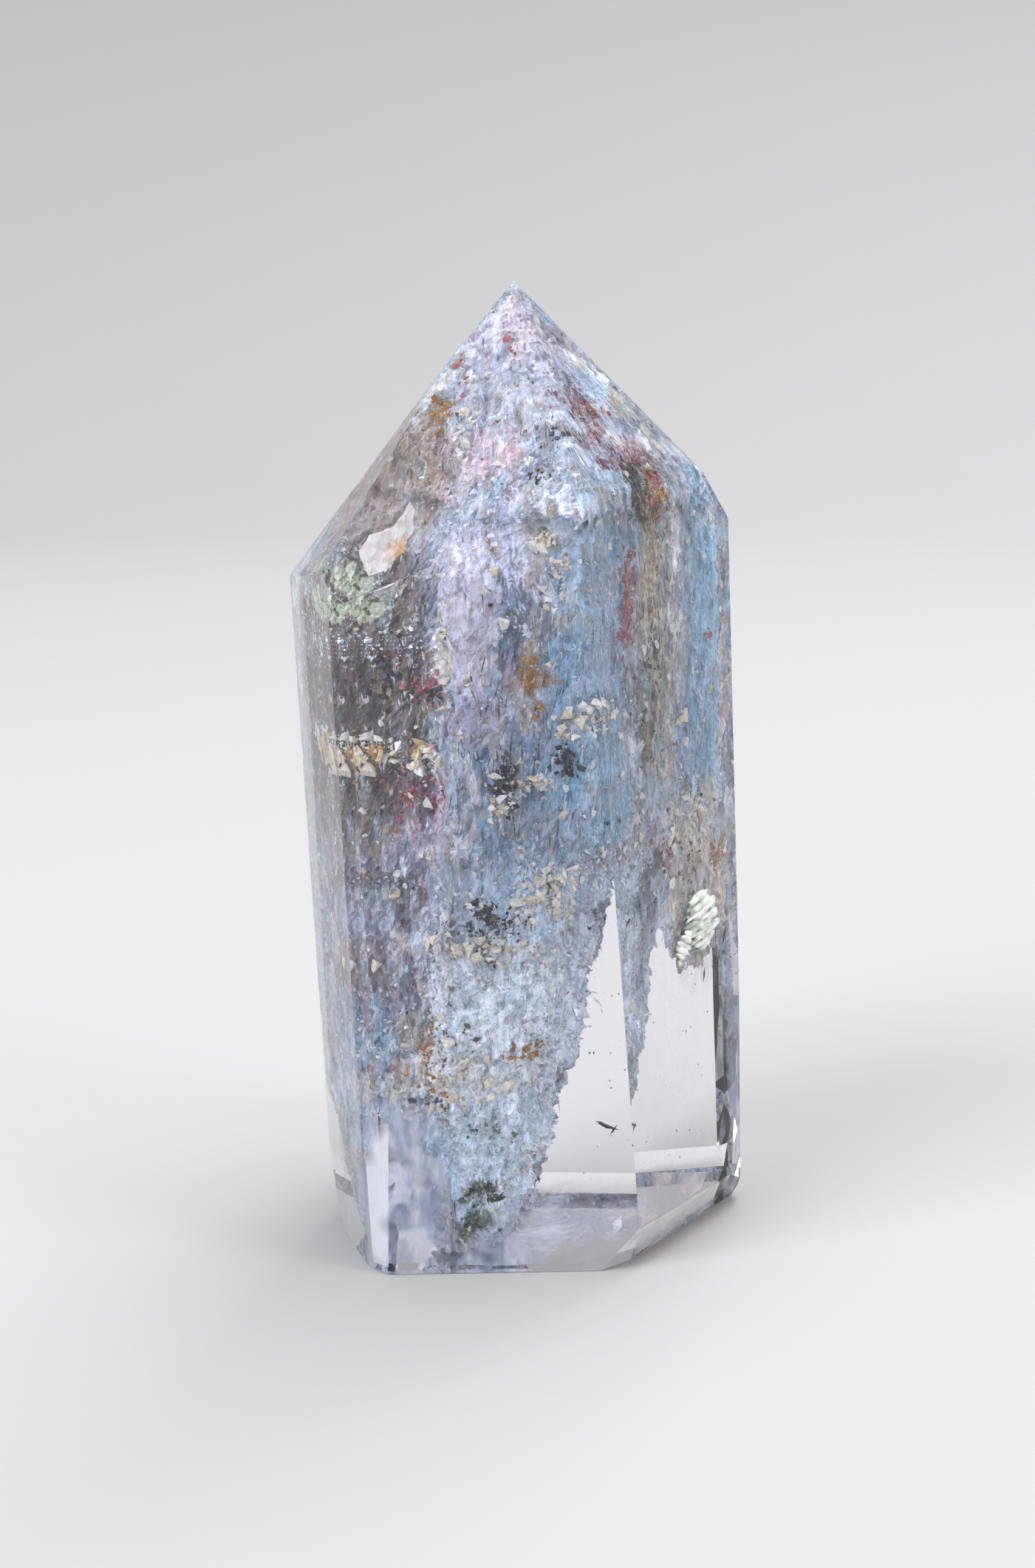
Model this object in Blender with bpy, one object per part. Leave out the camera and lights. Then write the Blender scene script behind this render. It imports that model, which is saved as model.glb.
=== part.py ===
"""Lodolite quartz point: a polished tower of clear quartz, grown round a garden of other minerals.

The tower stands on its flat base, with the origin under the middle of its box and its widest
polished face towards -Y. The clear quartz is parted in a front and a back half, because the garden is sealed
in a pocket inside it.
"""

import math

import bmesh
import bpy
from mathutils import Vector, noise

MM = 0.001

# The cut stone. Each polished face is a flat: the way it faces, in degrees round from the front
# (left is negative, as seen from the front), how far it leans back from upright, in degrees
# (negative under an overhang), and its distance from the middle of the base, in millimetres.
SIDE_FACES = {
    "front": (2.6, 0.0, 10.70),
    "front_left": (-44.4, -2.1, 13.77),
    "left": (-71.1, -2.6, 12.28),
    "left_edge": (-77.0, -2.4, 12.37),
    "back_left": (-112.0, -4.1, 11.18),
    "rear_left": (-152.0, -1.5, 11.90),
    "back": (176.0, 1.5, 11.40),
    "rear_right": (142.0, 1.0, 13.20),
    "back_right": (108.0, 0.9, 14.54),
    "right_edge": (69.0, 1.6, 13.17),
    "right": (56.9, 3.64, 11.93),
}
CROWN_FACES = {
    "crown_front": (-16.5, 37.9, 36.61),
    "crown_left": (-79.6, 35.6, 36.39),
    "crown_back_left": (-95.4, 37.65, 37.49),
    "crown_back": (178.0, 36.0, 36.31),
    "crown_back_right": (118.0, 42.3, 40.71),
    "crown_right": (54.7, 39.0, 37.36),
    "crown_shoulder": (95.0, 41.3, 40.80),
}
BASE_BEVELS = {
    "bevel_front_right": (42.0, -28.5, 9.75),
    "bevel_right": (56.1, -25.8, 9.52),
    "bevel_back_right": (118.0, -28.0, 11.90),
    "bevel_back": (176.0, -30.0, 9.20),
    "bevel_rear_left": (-150.0, -28.0, 9.60),
    "bevel_left": (-97.0, -16.4, 10.66),
}
BLOCK_MM = 160.0

# The garden. At each height, in millimetres above the base, it reaches this far from the tower's
# middle line: to the left, to the right, to the front and to the back. It stops short of the
# polished faces by QUARTZ_OVER_GARDEN, so the wide reaches follow the faces of the stone.
GARDEN_REACH = (
    (1.7, 5.6, -0.9, 7.6, -1.0),
    (5.0, 7.4, 1.0, 8.2, 3.6),
    (10.0, 9.4, 2.1, 8.6, 6.6),
    (16.0, 10.6, 3.6, 9.0, 8.4),
    (21.5, 11.4, 4.5, 9.4, 9.2),
    (25.0, 12.0, 6.2, 9.8, 9.6),
    (28.0, 12.4, 14.0, 10.6, 10.2),
    (32.0, 12.8, 15.0, 11.0, 10.4),
    (42.0, 15.0, 15.0, 12.0, 11.0),
    (50.0, 12.0, 13.0, 9.0, 10.5),
    (56.2, 3.5, 2.5, 1.8, 3.2),
)
QUARTZ_OVER_GARDEN = 1.1
LEAST_RADIUS = 0.5

# The left part of the garden's front lies deeper, behind a step along this upright line.
STEP_X = -5.0
STEP_Y = -6.2

FLUTES = 9
FLUTE_DEPTH = 0.35
LUMP_SIZE = 5.0
LUMP_HEIGHT = 0.85
RELIEF_UNDER_FACES = 0.5
LEDGE_SPACING = 6.5
LEDGE_DEPTH = 0.45
SIDES_ROUND = 40
RINGS = 46

GAP = 0.3
PARTING_Y = 0.0


def clear_scene():
    for obj in list(bpy.data.objects):
        bpy.data.objects.remove(obj, do_unlink=True)


def mineral(name, colour, roughness, transmission=0.0, ior=1.5):
    """A Principled material with one colour, as linear RGB."""
    material = bpy.data.materials.new(name)
    material.use_nodes = True
    shader = material.node_tree.nodes["Principled BSDF"]
    shader.inputs["Base Color"].default_value = (*colour, 1.0)
    shader.inputs["Roughness"].default_value = roughness
    shader.inputs["Metallic"].default_value = 0.0
    shader.inputs["Transmission Weight"].default_value = transmission
    shader.inputs["IOR"].default_value = ior
    return material


def facing(azimuth, lean):
    """The outward direction of a face, from its azimuth and its lean in degrees."""
    turn, tilt = math.radians(azimuth), math.radians(lean)
    return Vector((math.sin(turn) * math.cos(tilt), -math.cos(turn) * math.cos(tilt), math.sin(tilt)))


def all_faces():
    """Every polished face but the base, as (outward direction, distance in mm)."""
    plan = {**SIDE_FACES, **CROWN_FACES, **BASE_BEVELS}
    return [(facing(azimuth, lean), distance) for azimuth, lean, distance in plan.values()]


def cut(bm, point, outward):
    """Cuts away what lies outside a plane and closes the cut with one face."""
    everything = bm.verts[:] + bm.edges[:] + bm.faces[:]
    result = bmesh.ops.bisect_plane(
        bm, geom=everything, plane_co=point, plane_no=outward, clear_outer=True
    )
    rim = [item for item in result["geom_cut"] if isinstance(item, bmesh.types.BMEdge)]
    if rim:
        bmesh.ops.contextual_create(bm, geom=rim)


def cut_stone():
    """The whole tower as a convex solid: a block on the base plane, cut by each polished face."""
    bm = bmesh.new()
    bmesh.ops.create_cube(bm, size=BLOCK_MM * MM)
    bmesh.ops.translate(bm, verts=bm.verts, vec=(0.0, 0.0, BLOCK_MM * MM / 2))
    for outward, distance in all_faces():
        cut(bm, outward * distance * MM, outward)
    bmesh.ops.remove_doubles(bm, verts=bm.verts, dist=0.00002)
    bmesh.ops.recalc_face_normals(bm, faces=bm.faces)
    return bm


def add_object(name, bm, material):
    mesh = bpy.data.meshes.new(name)
    bm.to_mesh(mesh)
    bm.free()
    mesh.materials.append(material)
    obj = bpy.data.objects.new(name, mesh)
    bpy.context.scene.collection.objects.link(obj)
    return obj


def eased(values, position):
    """A value between two neighbours of a list, with a smooth start and end."""
    index = min(int(position), len(values) - 2)
    share = position - index
    share = share * share * (3 - 2 * share)
    return values[index] * (1 - share) + values[index + 1] * share


def reach_at(height, direction):
    """How far the garden reaches at this height along a horizontal direction, before the walls."""
    heights = [row[0] for row in GARDEN_REACH]
    index = max(i for i, low in enumerate(heights) if low <= height + 1e-6)
    index = min(index, len(heights) - 2)
    share = (height - heights[index]) / (heights[index + 1] - heights[index])
    left, right, front, back = (
        eased([row[column] for row in GARDEN_REACH], index + share) for column in (1, 2, 3, 4)
    )
    middle = Vector(((right - left) / 2, (back - front) / 2, 0.0))
    half_width, half_depth = (right + left) / 2, (back + front) / 2
    radius = 1 / math.hypot(direction.x / half_width, direction.y / half_depth)
    return middle, radius


def wall_distance(point, direction):
    """The distance from a point inside the stone to its nearest face along a direction."""
    return min(
        (distance - outward.dot(point)) / outward.dot(direction)
        for outward, distance in all_faces()
        if outward.dot(direction) > 0.05
    )


def relief(direction, turn, height):
    """The garden's own surface, in millimetres: upright flutes, ledges and rounded lumps."""
    flutes = FLUTE_DEPTH * math.sin(FLUTES * turn + 0.6 * math.sin(height / 5.0))
    wander = 1.5 * math.sin(2 * turn + 1.0)
    ledge = ((height + wander) / LEDGE_SPACING) % 1.0
    ledges = LEDGE_DEPTH * (0.5 - ledge)
    at = Vector((direction.x * 9.0, direction.y * 9.0, height)) / LUMP_SIZE
    lumps = LUMP_HEIGHT * noise.fractal(at, 0.8, 2.1, 3)
    return flutes + ledges + lumps


def step_distance(middle, direction):
    """The distance along a direction to where the garden's deeper left part ends."""
    if direction.x >= -0.01 or direction.y >= -0.01:
        return math.inf
    return max((STEP_X - middle.x) / direction.x, (STEP_Y - middle.y) / direction.y)


def garden_point(turn, height):
    """One point of the garden's surface, in millimetres."""
    direction = Vector((math.cos(turn), math.sin(turn), 0.0))
    middle, radius = reach_at(height, direction)
    middle.z = height
    free = wall_distance(middle, direction) - QUARTZ_OVER_GARDEN
    radius = min(radius, free - RELIEF_UNDER_FACES, step_distance(middle, direction))
    radius = min(radius + relief(direction, turn, height), free)
    return middle + direction * max(radius, LEAST_RADIUS)


def garden_form(grow=0.0):
    """The garden as a closed lathe-like skin of rings, grown outwards by some millimetres."""
    bm = bmesh.new()
    lowest, highest = GARDEN_REACH[0][0], GARDEN_REACH[-1][0]
    rings = []
    for ring in range(RINGS):
        height = lowest + (highest - lowest) * ring / (RINGS - 1)
        turns = [2 * math.pi * side / SIDES_ROUND for side in range(SIDES_ROUND)]
        rings.append([bm.verts.new(garden_point(turn, height) * MM) for turn in turns])
    for lower, upper in zip(rings, rings[1:]):
        for side in range(SIDES_ROUND):
            after = (side + 1) % SIDES_ROUND
            bm.faces.new((lower[side], lower[after], upper[after], upper[side]))
    bm.faces.new(rings[0][::-1])
    bm.faces.new(rings[-1])
    bm.normal_update()
    outward = [vertex.normal.copy() for vertex in bm.verts]
    for vertex, normal in zip(bm.verts, outward):
        vertex.co += normal * grow * MM
    bmesh.ops.triangulate(bm, faces=bm.faces)
    return bm


def helper(obj):
    """Marks an object as a cutter, which is no piece of the part."""
    obj.hide_render = True
    obj.display_type = "WIRE"
    return obj


def quartz_half(name, side, material, pocket):
    """The half of the stone on one side of the parting plane: -1 is the front and 1 the back."""
    bm = cut_stone()
    cut(bm, Vector((0.0, (PARTING_Y + side * GAP / 2) * MM, 0.0)), Vector((0.0, -side, 0.0)))
    bmesh.ops.recalc_face_normals(bm, faces=bm.faces)
    half = add_object(name, bm, material)
    hollow = half.modifiers.new("pocket", "BOOLEAN")
    hollow.operation = "DIFFERENCE"
    hollow.solver = "EXACT"
    hollow.object = pocket
    return half


def centre_over_origin(objects):
    """Moves every object by one vector, so that the tower's box stands centred over the origin."""
    bm = cut_stone()
    across = [vertex.co.x for vertex in bm.verts]
    deep = [vertex.co.y for vertex in bm.verts]
    bm.free()
    shift = Vector((-(min(across) + max(across)) / 2, -(min(deep) + max(deep)) / 2, 0.0))
    for obj in objects:
        obj.location = shift


def build():
    clear_scene()
    quartz = mineral("clear_quartz", (0.94, 0.96, 0.98), 0.03, transmission=1.0, ior=1.544)
    inclusions = mineral("garden_minerals", (0.46, 0.45, 0.48), 0.7)
    pocket = helper(add_object("pocket_form", garden_form(GAP), inclusions))
    front = quartz_half("quartz_front", -1, quartz, pocket)
    back = quartz_half("quartz_back", 1, quartz, pocket)
    garden = add_object("mineral_garden", garden_form(), inclusions)
    centre_over_origin((pocket, front, back, garden))


build()
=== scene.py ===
import math

import bmesh
import bpy
import numpy as np
from mathutils import Matrix, Vector, noise
from mathutils.bvhtree import BVHTree


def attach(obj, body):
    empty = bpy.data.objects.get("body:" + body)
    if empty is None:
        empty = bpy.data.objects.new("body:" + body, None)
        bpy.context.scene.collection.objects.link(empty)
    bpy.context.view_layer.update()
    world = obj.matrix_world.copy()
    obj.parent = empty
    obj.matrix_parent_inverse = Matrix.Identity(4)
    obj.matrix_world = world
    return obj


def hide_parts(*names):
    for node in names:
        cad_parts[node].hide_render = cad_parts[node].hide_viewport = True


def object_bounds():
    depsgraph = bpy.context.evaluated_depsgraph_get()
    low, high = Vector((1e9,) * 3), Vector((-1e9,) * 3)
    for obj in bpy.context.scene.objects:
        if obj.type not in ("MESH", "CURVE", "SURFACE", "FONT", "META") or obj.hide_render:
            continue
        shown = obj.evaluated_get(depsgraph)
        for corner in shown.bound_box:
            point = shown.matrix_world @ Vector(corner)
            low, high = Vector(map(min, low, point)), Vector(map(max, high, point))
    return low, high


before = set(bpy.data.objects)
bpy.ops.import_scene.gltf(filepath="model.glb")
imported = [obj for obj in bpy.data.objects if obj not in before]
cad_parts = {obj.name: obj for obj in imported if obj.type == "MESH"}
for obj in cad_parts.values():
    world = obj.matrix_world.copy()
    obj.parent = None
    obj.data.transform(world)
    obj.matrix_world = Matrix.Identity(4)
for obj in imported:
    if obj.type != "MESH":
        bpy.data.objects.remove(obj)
cad_low, cad_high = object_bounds()


# The clear quartz
# One piece of colourless rock crystal, sawn and polished by hand to a tower with a faceted point.
# Its skin is the outside of the two solids put together, with each edge broken by the polisher.
MM = 0.001
EDGE_ROUNDING = 0.11 * MM
FLAT_WITHIN = math.radians(0.6)
WATER_CLEAR = "#FCFDFF"
FAINT_SMOKE = "#D8D4E2"
QUARTZ_IOR = 1.544
SMOKE_DENSITY = 9.0
HAZE = 0.035
SMEARS_PER_MM = 0.16
RIPPLES_PER_MM = 0.45
RIPPLE = 0.01 * MM
WELD_WITHIN = 0.002 * MM


def linear(hex_colour):
    """An sRGB hex colour as linear red, green, blue and alpha."""
    channels = [int(hex_colour[i : i + 2], 16) / 255 for i in (1, 3, 5)]
    return [c / 12.92 if c <= 0.04045 else ((c + 0.055) / 1.055) ** 2.4 for c in channels] + [1.0]


def add_node(tree, kind, settings=None, links=None):
    """One shader node. A setting is a property of it, one of its sockets, or a ramp's stops."""
    made = tree.nodes.new("ShaderNode" + kind)
    for name, value in (settings or {}).items():
        if name == "stops":
            stops = made.color_ramp.elements
            while len(stops) < len(value):
                stops.new(0.5)
            for stop, (position, colour) in zip(stops, value):
                stop.position = position
                stop.color = linear(colour)
        elif isinstance(name, str) and hasattr(made, name):
            setattr(made, name, value)
        else:
            made.inputs[name].default_value = value
    for name, source in (links or {}).items():
        tree.links.new(source, made.inputs[name])
    return made


def new_material(name):
    """A material with only its output node, and that output's tree."""
    material = bpy.data.materials.new(name)
    material.use_nodes = True
    tree = material.node_tree
    tree.nodes.clear()
    return material, tree, add_node(tree, "OutputMaterial")


def new_piece(name, mesh, material):
    """An object in the scene, with this mesh and this one material."""
    piece = bpy.data.objects.new(name, mesh)
    bpy.context.scene.collection.objects.link(piece)
    mesh.materials.clear()
    mesh.materials.append(material)
    return piece


def polished_quartz():
    """Rock crystal, polished: clear, hardly rippled by the lap, and a little hazed by handling."""
    material, tree, output = new_material("polished_quartz")
    place = add_node(tree, "TexCoord").outputs["Object"]
    handling = add_node(
        tree,
        "TexNoise",
        {"Scale": SMEARS_PER_MM / MM, "Detail": 1.0, "Roughness": 0.7},
        {"Vector": place},
    )
    haze = add_node(
        tree, "MapRange", {1: 0.45, 2: 0.80, 3: 0.0, 4: HAZE}, {0: handling.outputs["Fac"]}
    )
    lapping = add_node(
        tree, "TexNoise", {"Scale": RIPPLES_PER_MM / MM, "Detail": 1.0}, {"Vector": place}
    )
    ripple = add_node(
        tree, "Bump", {"Strength": 0.3, "Distance": RIPPLE}, {"Height": lapping.outputs["Fac"]}
    )
    shader = add_node(
        tree,
        "BsdfPrincipled",
        {"Base Color": linear(WATER_CLEAR), "IOR": QUARTZ_IOR, "Transmission Weight": 1.0},
        {"Roughness": haze.outputs[0], "Normal": ripple.outputs[0]},
    )
    smoke = add_node(
        tree, "VolumeAbsorption", {"Color": linear(FAINT_SMOKE), "Density": SMOKE_DENSITY}
    )
    tree.links.new(shader.outputs[0], output.inputs["Surface"])
    tree.links.new(smoke.outputs[0], output.inputs["Volume"])
    return material


def stone_mesh():
    """The convex outside of both halves of the stone, with its edges rounded."""
    bm = bmesh.new()
    for half in ("quartz_front", "quartz_back"):
        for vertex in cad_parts[half].data.vertices:
            bm.verts.new(vertex.co)
    bmesh.ops.remove_doubles(bm, verts=bm.verts, dist=WELD_WITHIN)
    hull = bmesh.ops.convex_hull(bm, input=bm.verts)
    inner = set(hull["geom_interior"] + hull["geom_unused"])
    inner_points = [item for item in inner if isinstance(item, bmesh.types.BMVert)]
    bmesh.ops.delete(bm, geom=inner_points, context="VERTS")
    bmesh.ops.dissolve_limit(
        bm, angle_limit=FLAT_WITHIN, verts=bm.verts[:], edges=bm.edges[:]
    )
    flats = [(face.normal.copy(), face.normal.dot(face.verts[0].co)) for face in bm.faces]
    bmesh.ops.bevel(
        bm,
        geom=bm.edges[:],
        offset=EDGE_ROUNDING,
        offset_type="OFFSET",
        segments=2,
        profile=0.6,
        affect="EDGES",
        clamp_overlap=True,
    )
    mesh = bpy.data.meshes.new("clear_quartz")
    bm.to_mesh(mesh)
    bm.free()
    return mesh, flats


quartz_mesh, stone_flats = stone_mesh()
quartz = new_piece("clear_quartz", quartz_mesh, polished_quartz())
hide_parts("quartz_front", "quartz_back")
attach(quartz, "root")

FLAT_NORMALS = np.array([tuple(normal) for normal, distance in stone_flats])
FLAT_DISTANCES = np.array([distance for normal, distance in stone_flats])


def depth_in_stone(points):
    """How far each point lies under the nearest polished face, in metres."""
    return (FLAT_DISTANCES[None, :] - points @ FLAT_NORMALS.T).min(axis=1)


# The garden mass
# Chlorite, clay, feldspar and iron oxide that grew together in upright streaks, before the quartz
# closed over them. It fills the point and the shoulders, and hangs down in one ragged cone.
SKIN_VOXEL = 0.48 * MM
QUARTZ_OVER_SKIN = 0.26 * MM
QUARTZ_OVER_POINT = 0.42 * MM
POINT_FROM = 47.0 * MM
UNCUT_BLOCK = 200 * MM
CONE_TOP = 24.0
CONE_BLEND = 5.0

# The strands of the mass run together towards the foot of the cone and towards the stone's point,
# so across a strand's line the distance from this upright line, times the crowding, stays the same.
STRANDS_MEET = (-2.6, -3.0)
LOW_CROWDING = (0.0, 1.9)
EVEN_FROM, EVEN_TO = 40.0, 45.0
HIGH_CROWDING = (60.0, 2.2)

# Below the right shoulder a curtain of looser mineral hangs behind the right face.
CURTAIN_MIDDLE = (10.3, -0.6, 22.4)
CURTAIN_HALF_SIZES = (4.8, 0.9, 5.8)
CURTAIN_TURN = math.radians(56.9)

# Below this height the foot of the mass is drawn down towards the base, by this share.
FOOT_BELOW = 5.0
FOOT_STRETCH = 0.36

# The left of the point is clearer: there the mass lies deeper, by this much at the middle of it.
CLEARER_MIDDLE = (-8.6, -6.5, 46.5)
CLEARER_HALF_SIZES = (6.0, 6.0, 6.5)
CLEARER_BY = (2.0, 4.2, -0.4)

ICE_BLUE = "#B6CEE2"
PALE_LAVENDER = "#CDD0E6"
SLATE_BLUE = "#7896B2"
DEEP_SLATE = "#647688"
MILK_WHITE = "#E6EBF6"

# How far the skin stands out in millimetres, and how close together its forms are, per mm.
BLADES_STAND = 0.50
BLADES_ACROSS, BLADES_UPRIGHT = 0.60, 0.17
RIDGES_STAND = 0.12
RIDGES_ACROSS, RIDGES_UPRIGHT = 1.5, 0.28
GRAINS_STAND = 0.26
GRAINS_PER_MM = 1.7
CRAGS_STAND = 1.1
CRAGS_ACROSS, CRAGS_UPRIGHT = 0.5, 0.45

# How close together the streaks of colour are, per mm in each direction: broad wisps, strands a
# quarter of a millimetre wide in them, torn shreds and small pits. Swirls and tears push them
# about, by so many millimetres.
WISPS_PER_MM = (0.9, 0.9, 0.12)
STRANDS_PER_MM = (1.9, 1.9, 0.26)
SHREDS_PER_MM = (2.0, 2.0, 1.0)
PITS_PER_MM = (3.0, 3.0, 1.1)
SWIRLS_PER_MM = (0.30, 0.30, 0.16)
SWIRLS_PUSH = (2.6, 2.6, 3.4)
TEARS_PER_MM = (2.6, 2.6, 0.55)
TEARS_PUSH = (1.2, 1.2, 3.6)

# Minerals by colour. They make lots one to three millimetres across, flecks half as wide, and
# crumbs a quarter of a millimetre across.
LOTS_PER_MM = (0.62, 0.62, 0.30)
FLECKS_PER_MM = (1.15, 1.15, 0.60)
CRUMBS_PER_MM = (4.2, 4.2, 2.6)
PITS_DEEP = 0.16 * MM
LOT_COLOURS = (
    "#869CB4", "#D6C8D2", "#7CACC4", "#A8988A", "#F2F4FC", "#62748A", "#C2D6E8", "#A48E9C",
    "#9C9884", "#DCD2BE", "#546476", "#BCDCEE",
)

# Each patch: its middle and its half sizes in millimetres, its colour, its strength, and how
# soft its rim is, as a share of its size.
GARDEN_PATCHES = (
    ((-9.2, -5.0, 33.0), (4.6, 5.0, 12.5), "#665E5E", 0.90, 0.25),
    ((-9.4, -5.5, 38.0), (3.4, 4.0, 5.6), "#4E4640", 0.90, 0.35),
    ((-9.0, -5.0, 22.0), (3.4, 5.0, 8.0), "#82798A", 0.80, 0.40),
    ((-7.4, -2.0, 48.5), (3.8, 6.0, 5.4), "#AE9C92", 0.92, 0.22),
    ((-9.8, -4.6, 42.0), (2.2, 4.0, 0.8), "#B6BEAE", 0.85, 0.20),
    ((5.5, -3.0, 15.5), (3.4, 6.0, 10.5), "#E0EEFF", 0.92, 0.25),
    ((-1.6, -4.5, 52.6), (3.4, 3.6, 4.8), "#B8B6BC", 0.85, 0.30),
    ((-1.2, -2.0, 57.5), (2.2, 3.5, 3.2), "#D6CCD8", 0.90, 0.40),
    ((-2.8, -6.0, 50.0), (3.4, 2.8, 1.5), "#D8BCC6", 0.90, 0.15),
    ((-4.6, -7.1, 47.4), (1.1, 2.0, 1.2), "#E6C6D0", 0.85, 0.18),
    ((3.8, -3.4, 52.0), (2.8, 3.8, 4.2), "#B4BACC", 0.70, 0.25),
    ((3.2, -4.2, 51.0), (2.2, 2.4, 0.7), "#C08A9C", 0.70, 0.22),
    ((4.2, -1.0, 54.0), (1.3, 2.5, 1.3), "#C6E4FA", 0.85, 0.20),
    ((6.6, -2.6, 50.4), (1.6, 2.6, 1.0), "#B0A4B4", 0.70, 0.25),
    ((1.8, -6.6, 49.0), (1.9, 2.4, 1.5), "#A8B6CC", 0.75, 0.25),
    ((1.2, -7.2, 49.2), (0.9, 1.6, 0.5), "#566072", 0.85, 0.20),
    ((2.4, -9.0, 47.4), (0.7, 1.6, 1.4), "#E0E6FA", 0.85, 0.20),
    ((-1.7, -8.4, 44.8), (2.6, 2.4, 3.0), "#C6CCE6", 0.92, 0.15),
    ((-3.6, -8.6, 40.2), (1.9, 2.2, 4.2), "#D0CADA", 0.95, 0.08),
    ((-0.2, -9.0, 40.4), (1.9, 2.2, 2.7), "#5A6A8A", 0.92, 0.18),
    ((4.0, -8.0, 43.0), (2.2, 3.0, 5.2), "#7EA8C8", 0.85, 0.25),
    ((3.6, -8.6, 36.8), (2.4, 3.0, 4.0), "#6C9CC0", 0.90, 0.18),
    ((4.4, -7.4, 37.4), (0.9, 2.0, 2.4), "#938AAE", 0.75, 0.22),
    ((-2.8, -8.6, 34.6), (2.4, 2.6, 2.4), "#958FAC", 0.80, 0.22),
    ((-0.4, -9.2, 30.4), (2.8, 2.6, 4.2), "#5E80A2", 0.88, 0.20),
    ((4.0, -9.0, 30.0), (2.3, 3.0, 4.8), "#70A6CA", 0.90, 0.18),
    ((2.8, -9.4, 32.4), (0.7, 1.4, 1.2), "#4C5C6E", 0.80, 0.20),
    ((-5.8, -7.2, 28.8), (2.3, 3.0, 4.0), "#B4A2B8", 0.85, 0.22),
    ((-3.8, -8.0, 23.8), (3.6, 3.0, 3.0), "#969BAC", 0.70, 0.25),
    ((1.6, -8.8, 23.0), (3.6, 3.2, 2.5), "#C4DCF6", 0.90, 0.25),
    ((-0.4, -8.6, 16.8), (5.0, 4.4, 4.2), "#F2F8FF", 0.95, 0.22),
    ((-5.0, -7.6, 13.2), (1.8, 2.6, 3.0), "#CDB09A", 0.80, 0.20),
    ((-2.4, -8.4, 13.4), (1.6, 2.0, 1.8), "#F4F0F4", 0.80, 0.25),
    ((0.6, -8.8, 13.8), (1.7, 1.6, 0.5), "#C8A468", 0.80, 0.20),
    ((-2.0, -8.2, 7.4), (4.4, 4.0, 4.4), "#D6ECFF", 0.97, 0.22),
    ((-2.6, -8.6, 8.4), (1.8, 1.8, 1.4), "#74889C", 0.80, 0.30),
    ((-2.7, -7.4, 1.8), (1.8, 2.0, 1.0), "#C6D6E2", 0.85, 0.30),
    ((6.4, -4.6, 47.8), (0.9, 1.8, 1.8), "#201C18", 0.97, 0.18),
    ((7.7, -3.2, 47.4), (0.8, 1.6, 1.2), "#AE6E36", 0.90, 0.20),
    ((5.7, -6.2, 41.6), (0.45, 1.8, 3.0), "#94566A", 0.80, 0.22),
    ((7.3, -3.4, 41.0), (1.05, 2.4, 7.0), "#B4AC92", 0.85, 0.20),
    ((7.2, -3.2, 42.2), (0.5, 1.6, 3.0), "#D2B888", 0.80, 0.25),
    ((6.6, -4.4, 34.6), (0.9, 2.0, 3.6), "#747066", 0.90, 0.20),
    ((9.2, -1.0, 41.0), (0.8, 2.0, 6.5), "#FAFCFF", 0.95, 0.20),
    ((11.2, 1.0, 43.0), (1.7, 3.4, 6.5), "#8ABCDC", 0.85, 0.22),
    ((10.6, 0.4, 33.0), (2.6, 3.4, 4.5), "#76A6CC", 0.85, 0.22),
    ((8.6, -2.6, 26.6), (2.2, 3.0, 2.2), "#B4B4BC", 0.70, 0.25),
    ((8.0, -3.2, 24.6), (1.6, 2.6, 1.6), "#8E7A6C", 0.60, 0.30),
    ((10.9, -0.2, 20.4), (5.0, 4.6, 5.4), "#DAD0CA", 0.80, 0.22),
    ((0.6, -8.9, 37.6), (0.4, 1.2, 1.2), "#B9853A", 0.85, 0.30),
    ((1.8, -8.9, 37.4), (0.6, 1.2, 0.5), "#C08C40", 0.80, 0.30),
    ((4.0, 8.6, 44.0), (3.4, 3.4, 5.0), "#CCD0EA", 0.90, 0.18),
    ((-3.2, 8.8, 38.0), (3.0, 3.4, 6.0), "#82B4D6", 0.85, 0.22),
    ((6.4, 7.6, 33.0), (2.4, 3.4, 4.0), "#DCBCC8", 0.85, 0.22),
    ((-1.0, 8.8, 23.0), (4.0, 3.4, 5.0), "#EEF6FF", 0.92, 0.22),
    ((-7.4, 6.4, 29.0), (2.4, 3.4, 5.0), "#B4A490", 0.80, 0.22),
    ((-3.0, 7.0, 10.0), (4.0, 4.0, 5.0), "#D6ECFF", 0.90, 0.22),
)

# Closed sheets of one mineral that lie over the smaller flecks, in the same terms.
SHEETS = (
    ((-9.4, -5.0, 35.5), (4.6, 5.0, 8.5), "#4E4643", 0.68, 0.25),
    ((-3.4, -8.6, 41.4), (2.2, 2.4, 5.2), "#CCC8DC", 0.62, 0.12),
    ((-7.6, -3.0, 48.2), (3.6, 6.0, 5.0), "#948478", 0.58, 0.22),
    ((3.8, -8.8, 34.0), (2.6, 3.0, 7.0), "#7CA4C2", 0.50, 0.22),
    ((0.2, -8.4, 12.6), (6.4, 4.8, 10.0), "#E4F2FF", 0.58, 0.25),
    ((1.0, -8.6, 23.4), (4.4, 3.6, 3.6), "#AAC8E4", 0.45, 0.25),
    ((11.4, 0.9, 37.5), (1.7, 3.0, 9.5), "#86AECC", 0.40, 0.22),
    ((-10.1, -6.4, 41.7), (1.9, 2.6, 0.9), "#B8C2AA", 0.75, 0.20),
    ((-2.6, -7.9, 4.5), (1.2, 1.6, 0.7), "#4E6236", 0.75, 0.22),
    ((-3.4, -7.5, 2.3), (1.0, 1.6, 0.8), "#4E6236", 0.75, 0.22),
)

# Where the mass is closed and even: it stands out less there, and fewer small crystals took, by
# these shares.
CALM_EVENS = 0.55
CALM_BARES = 0.85
CALM_PLACES = (
    ((-9.4, -5.0, 36.5), (4.0, 5.0, 7.5)),
    ((-3.4, -8.6, 42.0), (2.2, 2.4, 5.4)),
    ((-7.6, -3.0, 48.2), (3.4, 5.0, 4.6)),
)


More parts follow.
